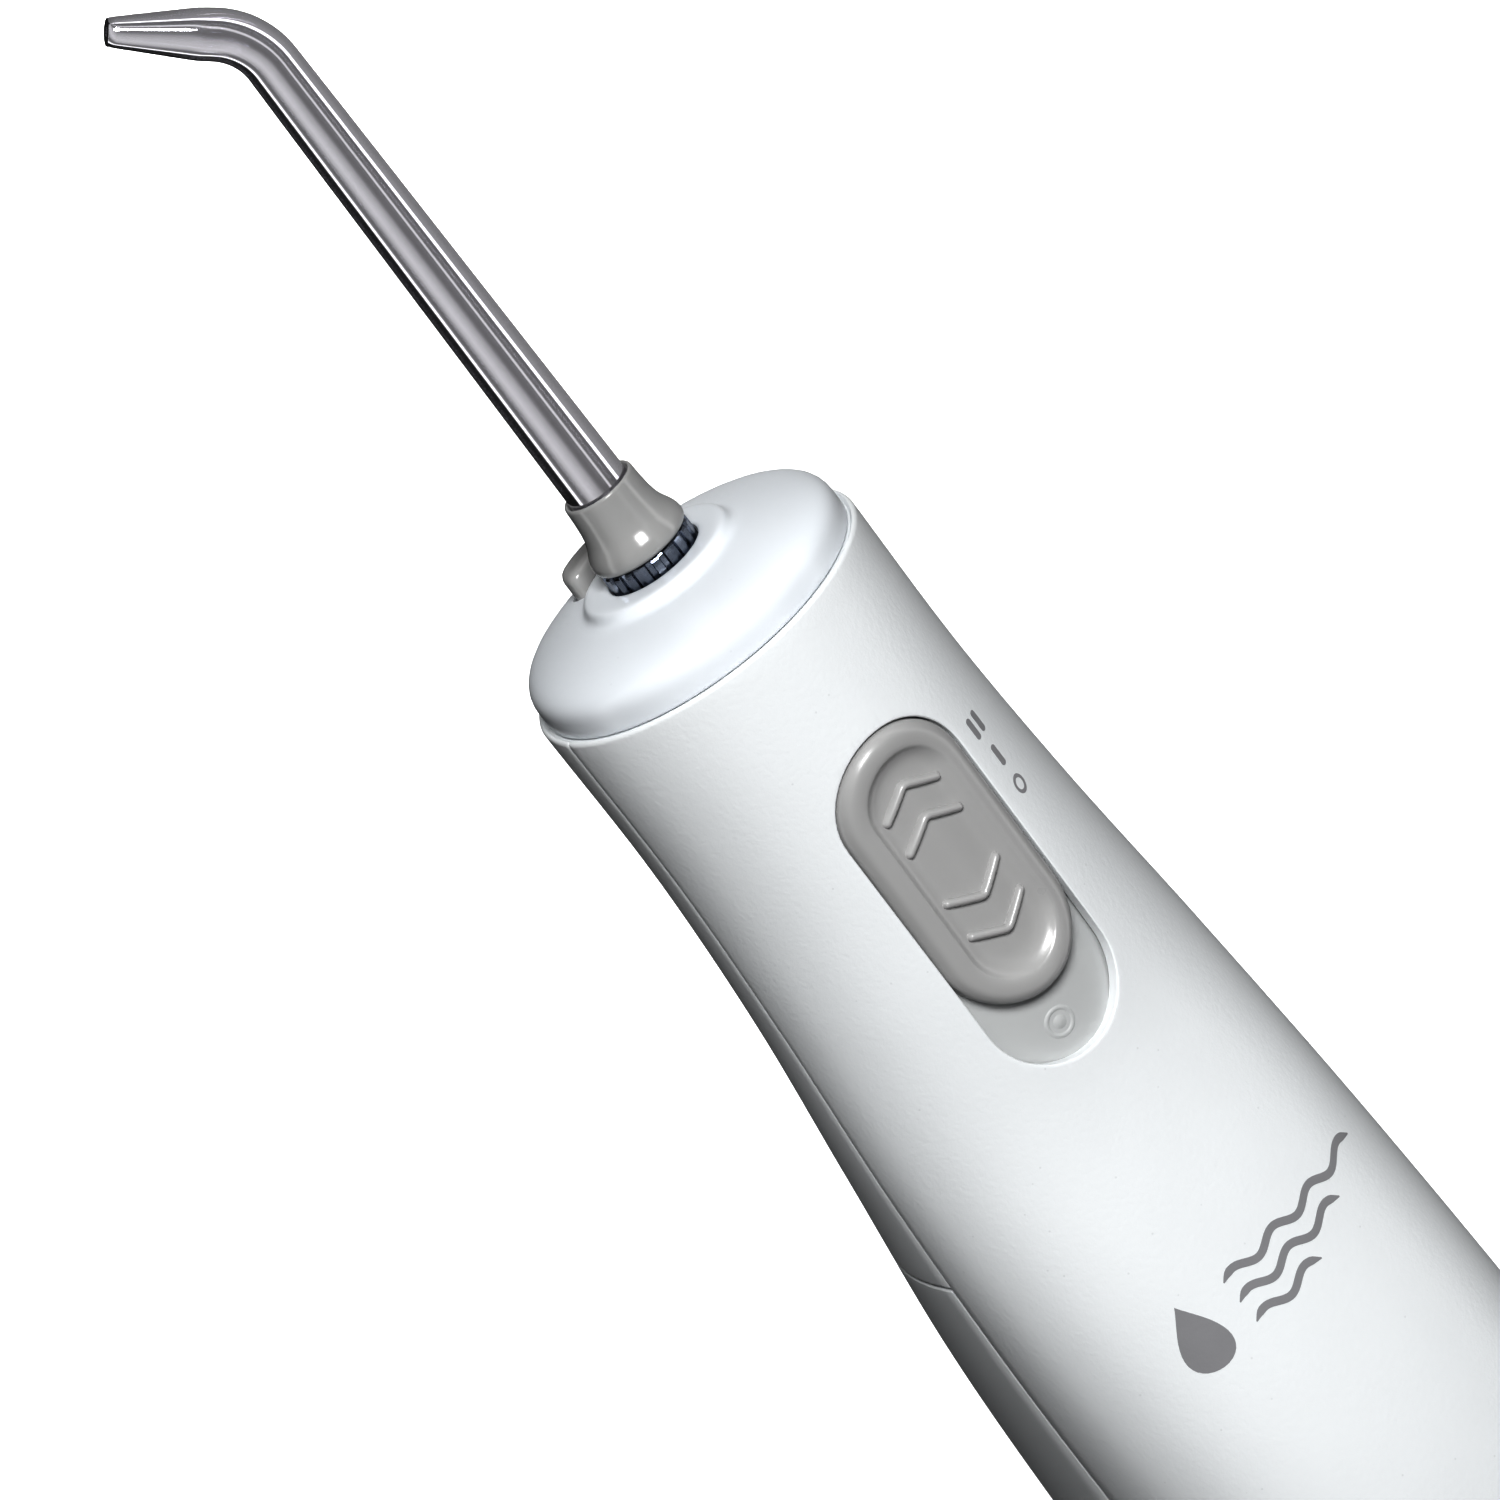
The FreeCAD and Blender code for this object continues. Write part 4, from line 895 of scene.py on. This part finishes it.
def plastic(name, colour, rough=0.4, grain=0.0, grain_scale=900.0, mottle=0.03, speck=0.0,
            coat=0.0, metal=0.0, under=0.0):
    """A moulded or machined surface: base colour with slight variation, grain, specks and gloss."""
    material = bpy.data.materials.new(name)
    material.use_nodes = True
    tree = material.node_tree
    shader = tree.nodes["Principled BSDF"]
    where = tree.nodes.new("ShaderNodeTexCoord")
    cloud = add(tree, "ShaderNodeTexNoise", Scale=CLOUD_SCALE, Detail=4.0)
    tree.links.new(where.outputs["Object"], cloud.inputs["Vector"])
    dark, light = [c * (1 - mottle) for c in colour], [min(c * (1 + mottle), 1) for c in colour]
    colour_out = ramp(tree, cloud.outputs["Fac"], (0.3, 0.7), (dark, light))
    if speck:
        cells = add(tree, "ShaderNodeTexVoronoi", Scale=SPECK_SCALE, Randomness=1.0)
        tree.links.new(where.outputs["Object"], cells.inputs["Vector"])
        spots = ramp(tree, cells.outputs["Distance"], SPECK_EDGE, ((1, 1, 1), (0, 0, 0)))
        mix = tree.nodes.new("ShaderNodeMix")
        mix.data_type = "RGBA"
        mix.inputs["B"].default_value = [c * SPECK_SHADE for c in colour] + [1]
        tree.links.new(scaled(tree, spots, speck), mix.inputs["Factor"])
        tree.links.new(colour_out, mix.inputs["A"])
        colour_out = mix.outputs["Result"]
    tree.links.new(colour_out, shader.inputs["Base Color"])
    smudge = add(tree, "ShaderNodeTexNoise", Scale=SMUDGE_SCALE, Detail=5.0)
    tree.links.new(where.outputs["Object"], smudge.inputs["Vector"])
    gloss = tree.nodes.new("ShaderNodeMapRange")
    gloss.inputs["To Min"].default_value = max(rough - ROUGH_SPREAD, 0.02)
    gloss.inputs["To Max"].default_value = rough + ROUGH_SPREAD
    tree.links.new(smudge.outputs["Fac"], gloss.inputs["Value"])
    tree.links.new(gloss.outputs["Result"], shader.inputs["Roughness"])
    if grain:
        fine = add(tree, "ShaderNodeTexNoise", Scale=grain_scale, Detail=6.0)
        tree.links.new(where.outputs["Object"], fine.inputs["Vector"])
        emboss(tree, fine.outputs["Fac"], shader, grain, 0.0002)
    shader.inputs["Metallic"].default_value = metal
    shader.inputs["IOR"].default_value = PLASTIC_IOR
    shader.inputs["Coat Weight"].default_value = coat
    shader.inputs["Coat Roughness"].default_value = COAT_ROUGH
    shader.inputs["Subsurface Weight"].default_value = under
    shader.inputs["Subsurface Radius"].default_value = (0.6, 0.6, 0.6)
    shader.inputs["Subsurface Scale"].default_value = 0.002
    return material


def clear(name, colour, rough, metal):
    """Clear moulded plastic with faint flow lines."""
    material = bpy.data.materials.new(name)
    material.use_nodes = True
    tree = material.node_tree
    shader = tree.nodes["Principled BSDF"]
    where = tree.nodes.new("ShaderNodeTexCoord")
    flow = add(tree, "ShaderNodeTexNoise", Scale=FLOW_SCALE, Detail=3.0)
    tree.links.new(where.outputs["Object"], flow.inputs["Vector"])
    shades = ([c * 0.93 for c in colour], colour)
    tree.links.new(ramp(tree, flow.outputs["Fac"], (0.0, 1.0), shades), shader.inputs["Base Color"])
    emboss(tree, flow.outputs["Fac"], shader, 0.04, 0.0001)
    shader.inputs["Roughness"].default_value = rough
    shader.inputs["Transmission Weight"].default_value = 1.0
    shader.inputs["Metallic"].default_value = metal
    shader.inputs["IOR"].default_value = CLEAR_IOR
    return material


MATERIALS = {
    "white_shell": plastic("white_shell", (0.80, 0.82, 0.83), 0.42, 0.22, 1500, 0.012, 0.25),
    "white_cap": plastic("white_cap", (0.78, 0.81, 0.84), 0.33, 0.06, 1500, 0.012, 0.12, coat=0.15),
    "white_tank": plastic("white_tank", (0.79, 0.81, 0.82), 0.40, 0.18, 1500, 0.012, 0.1),
    "grey_trim": plastic("grey_trim", (0.41, 0.41, 0.408), 0.30, 0.08, 1400, 0.02, coat=0.1),
    "grey_gloss": plastic("grey_gloss", (0.34, 0.34, 0.337), 0.17, 0.03, 900, 0.02, coat=0.15),
    "smoke_plastic": clear("smoke_plastic", (0.30, 0.34, 0.42), 0.14, metal=0.5),
    "clear_tip": clear("clear_tip", (0.84, 0.83, 0.87), 0.06, metal=0.7),
    "pale_track": plastic("pale_track", (0.52, 0.53, 0.53), 0.45, 0.08, 1200, 0.015),
    "dark_seal": plastic("dark_seal", (0.02, 0.02, 0.022), 0.6, 0.2, 1500, 0.1),
    "pale_seal": plastic("pale_seal", (0.55, 0.57, 0.58), 0.55, 0.15, 1200, 0.04, under=0.2),
    "inner_plastic": plastic("inner_plastic", (0.60, 0.61, 0.60), 0.5, 0.15, 900, 0.03),
    "grey_cover": plastic("grey_cover", (0.45, 0.46, 0.47), 0.42, 0.2, 1300, 0.02),
    "gear_plastic": plastic("gear_plastic", (0.80, 0.78, 0.70), 0.38, 0.1, 900, 0.03, under=0.2),
    "brass_gear": plastic("brass_gear", (0.78, 0.55, 0.22), 0.28, 0.2, 2500, 0.06, metal=1.0),
    "motor_can": plastic("motor_can", (0.55, 0.56, 0.57), 0.3, 0.15, 2200, 0.04, metal=1.0),
    "steel": plastic("steel", (0.52, 0.52, 0.53), 0.28, 0.2, 2500, 0.05, metal=1.0),
    "nickel": plastic("nickel", (0.66, 0.64, 0.58), 0.22, 0.1, 2500, 0.04, metal=1.0),
    "cell_wrap": plastic("cell_wrap", (0.03, 0.05, 0.09), 0.22, 0.02, 900, 0.1, coat=0.5),
    "board_green": plastic("board_green", (0.01, 0.12, 0.05), 0.32, 0.3, 1600, 0.25, coat=0.3),
    "board_black": plastic("board_black", (0.015, 0.015, 0.017), 0.5, 0.2, 1600, 0.1),
    "soft_tube": plastic("soft_tube", (0.62, 0.61, 0.56), 0.4, 0.08, 700, 0.04, under=0.3),
    "wire_red": plastic("wire_red", (0.45, 0.02, 0.02), 0.42, 0.1, 1500, 0.08),
    "print_grey": plastic("print_grey", (0.27, 0.27, 0.28), 0.5, 0.15, 1600, 0.08),
}


def give(piece, name):
    piece.data.materials.clear()
    piece.data.materials.append(MATERIALS[name])


for node in frame["record"]["subparts"]:
    cad = frame["nodes"][node["node"]]
    give(cad, node["material_slot"])


def settle(piece, body, node, slot):
    """Puts a finished piece on its body, in place of its CAD node and in that node's finish."""
    give(piece, slot)
    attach(piece, body)
    if node:
        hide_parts(node)


settle(front_shell(), "handle", "front_housing", "white_shell")
settle(rear_shell(), "handle", "rear_housing", "white_shell")
settle(tank_shell(), "reservoir", "reservoir", "white_tank")
settle(fill_door(), "fill_door", "fill_door", "white_tank")
settle(release_button(), "release_button", "release_button", "grey_trim")
settle(top_cap(), "handle", "top_cap", "white_cap")
settle(knurled_ring(), "tip_knob", "knurled_ring", "smoke_plastic")
settle(tip_collar(), "tip", "tip_collar", "grey_gloss")
settle(jet_tip(), "tip", "jet_tip", "clear_tip")
settle(slide_switch(), "power_switch", "slide_switch", "grey_trim")
settle(switch_track(), "handle", "switch_track", "pale_track")
settle(eject_button(), "eject_button", "eject_button", "grey_gloss")
for printed in (position_marks(), emblem()):
    give(printed, "print_grey")
    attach(printed, "handle")

# Stage, light and camera -----------------------------------------------------------------------
VIEW_AZIMUTH = math.radians(-21)
VIEW_HEIGHT = math.radians(21.4)
TILT = math.radians(37.6)
FRAME_WIDTH = 0.1714
AIM = (-2.32, -4.34, 185.0)
DISTANCE = 1.2
SENSOR = 36.0


def camera():
    side = Vector((math.cos(VIEW_AZIMUTH), math.sin(VIEW_AZIMUTH), 0))
    back = Vector((math.sin(VIEW_AZIMUTH) * math.cos(VIEW_HEIGHT),
                   -math.cos(VIEW_AZIMUTH) * math.cos(VIEW_HEIGHT), math.sin(VIEW_HEIGHT)))
    up = back.cross(side)
    right = side * math.cos(TILT) - up * math.sin(TILT)
    top = side * math.sin(TILT) + up * math.cos(TILT)
    target = place(0, 0, AIM[2]) + right * AIM[0] * MM + top * AIM[1] * MM
    lens = bpy.data.cameras.new("camera")
    lens.sensor_width = SENSOR
    lens.lens = SENSOR * DISTANCE / FRAME_WIDTH
    lens.clip_start = 0.05
    lens.clip_end = 50
    view = bpy.data.objects.new("camera", lens)
    turn = Matrix((right, top, back)).transposed().to_4x4()
    view.matrix_world = Matrix.Translation(target + back * DISTANCE) @ turn
    bpy.context.scene.collection.objects.link(view)
    bpy.context.scene.camera = view
    return target


TARGET = camera()


def lamp(name, offset, size, power, shiny=True):
    """A soft box that faces the neck, at an offset from it, seen in shiny surfaces or not.
    The camera never sees it."""
    light = bpy.data.lights.new(name, "AREA")
    light.shape = "RECTANGLE"
    light.size, light.size_y = size
    light.energy = power
    box = bpy.data.objects.new(name, light)
    spot = TARGET + offset
    box.location = spot
    box.rotation_euler = (spot - TARGET).to_track_quat("Z", "Y").to_euler()
    box.visible_glossy = shiny
    box.visible_camera = False
    bpy.context.scene.collection.objects.link(box)


def bearing(degrees, height):
    """A direction by its angle to the right of the camera's bearing and its height, in degrees."""
    angle = VIEW_AZIMUTH + math.radians(degrees)
    lift = math.radians(height)
    return Vector((math.sin(angle) * math.cos(lift), -math.cos(angle) * math.cos(lift), math.sin(lift)))


lamp("key", bearing(9, 38) * 1.25, (0.42, 0.42), 21)
lamp("fill_back", bearing(185, 38) * 1.3, (0.7, 0.7), 2.4, shiny=False)
lamp("back", bearing(180, 0) * 1.5, (0.3, 0.3), 20, shiny=False)


# Bright and dark bands of the studio, which glossy and clear surfaces reflect.  Each is an angle to the
# right of the camera's bearing, from -180 to 180 degrees, with the brightness there.
BANDS = ((-180, 0.03), (-100, 0.03), (-95, 0.1), (-91, 2.2), (-84, 2.2), (-79, 0.5), (-70, 0.32),
         (-62, 0.36), (-50, 0.85), (-36, 1.05), (-20, 0.88), (-4, 0.66), (4, 0.42), (12, 0.33), (30, 0.33),
         (34, 1.2), (38, 1.2), (42, 0.33), (68, 0.26), (73, 2.8), (80, 2.8), (85, 0.6), (110, 0.5),
         (180, 0.3))


def band_strength(tree, vector):
    """Nodes that turn a direction into the brightness of its band."""
    turned_to = tree.nodes.new("ShaderNodeVectorRotate")
    turned_to.rotation_type = "Z_AXIS"
    turned_to.inputs["Angle"].default_value = math.pi / 2 - VIEW_AZIMUTH
    tree.links.new(vector, turned_to.inputs["Vector"])
    parts = tree.nodes.new("ShaderNodeSeparateXYZ")
    tree.links.new(turned_to.outputs["Vector"], parts.inputs[0])
    angle = tree.nodes.new("ShaderNodeMath")
    angle.operation = "ARCTAN2"
    tree.links.new(parts.outputs["Y"], angle.inputs[0])
    tree.links.new(parts.outputs["X"], angle.inputs[1])
    share = tree.nodes.new("ShaderNodeMapRange")
    share.inputs["From Min"].default_value = -math.pi
    share.inputs["From Max"].default_value = math.pi
    tree.links.new(angle.outputs[0], share.inputs["Value"])
    curve = tree.nodes.new("ShaderNodeFloatCurve")
    line = curve.mapping.curves[0]
    top = max(value for degrees, value in BANDS)
    places = [((degrees + 180) / 360, value / top) for degrees, value in BANDS]
    line.points[0].location, line.points[1].location = places[0], places[-1]
    for spot in places[1:-1]:
        line.points.new(*spot)
    for point in line.points:
        point.handle_type = "VECTOR"
    curve.mapping.update()
    tree.links.new(share.outputs["Result"], curve.inputs["Value"])
    return scaled(tree, curve.outputs["Value"], top)


def shiny_ray(tree):
    """The kinds of ray, and one for a ray that left a glossy or clear surface, otherwise nought."""
    ray = tree.nodes.new("ShaderNodeLightPath")
    either = tree.nodes.new("ShaderNodeMath")
    either.operation = "MAXIMUM"
    tree.links.new(ray.outputs["Is Glossy Ray"], either.inputs[0])
    tree.links.new(ray.outputs["Is Transmission Ray"], either.inputs[1])
    return ray, either.outputs[0]


def either_shader(tree, choice, nought, one):
    """A mix of two shaders by a value from nought to one."""
    mix = tree.nodes.new("ShaderNodeMixShader")
    tree.links.new(choice, mix.inputs[0])
    tree.links.new(nought.outputs[0], mix.inputs[1])
    tree.links.new(one.outputs[0], mix.inputs[2])
    return mix


PAPER = 0.9
ROOM_LIGHT = 0.07


def floor():
    """A pale floor: bright paper to the camera, quieter to the object standing on it."""
    size = 6.0
    corners = [(-size, -size, 0), (size, -size, 0), (size, size, 0), (-size, size, 0)]
    piece = new_object("floor", corners, [(0, 1, 2, 3)])
    paper = bpy.data.materials.new("paper")
    paper.use_nodes = True
    tree = paper.node_tree
    shader = tree.nodes["Principled BSDF"]
    shader.inputs["Base Color"].default_value = (PAPER, PAPER, PAPER, 1)
    shader.inputs["Roughness"].default_value = 0.9
    shader.inputs["Emission Color"].default_value = (1, 1, 1, 1)
    shader.inputs["Emission Strength"].default_value = PAPER
    quiet = add(tree, "ShaderNodeBsdfDiffuse", Color=(0.14, 0.14, 0.145, 1))
    ray, shiny = shiny_ray(tree)
    place_from = tree.nodes.new("ShaderNodeTexCoord")
    band = add(tree, "ShaderNodeEmission", Color=(1, 1, 1, 1))
    tree.links.new(band_strength(tree, place_from.outputs["Object"]), band.inputs["Strength"])
    dim = either_shader(tree, shiny, quiet, band)
    mix = either_shader(tree, ray.outputs["Is Camera Ray"], dim, shader)
    tree.links.new(mix.outputs[0], tree.nodes["Material Output"].inputs["Surface"])
    piece.data.materials.append(paper)


def studio():
    """A dim room with soft bands of light that glossy and clear surfaces reflect."""
    world = bpy.data.worlds.new("studio")
    world.use_nodes = True
    tree = world.node_tree
    where = tree.nodes.new("ShaderNodeTexCoord")
    shiny = shiny_ray(tree)[1]
    strength = tree.nodes.new("ShaderNodeMix")
    strength.inputs["A"].default_value = ROOM_LIGHT
    tree.links.new(shiny, strength.inputs["Factor"])
    tree.links.new(band_strength(tree, where.outputs["Generated"]), strength.inputs["B"])
    tree.links.new(strength.outputs["Result"], tree.nodes["Background"].inputs["Strength"])
    tree.nodes["Background"].inputs["Color"].default_value = (1, 1, 1, 1)
    bpy.context.scene.world = world


floor()
studio()
look = bpy.context.scene.view_settings
look.view_transform = "Standard"
look.gamma = 0.72
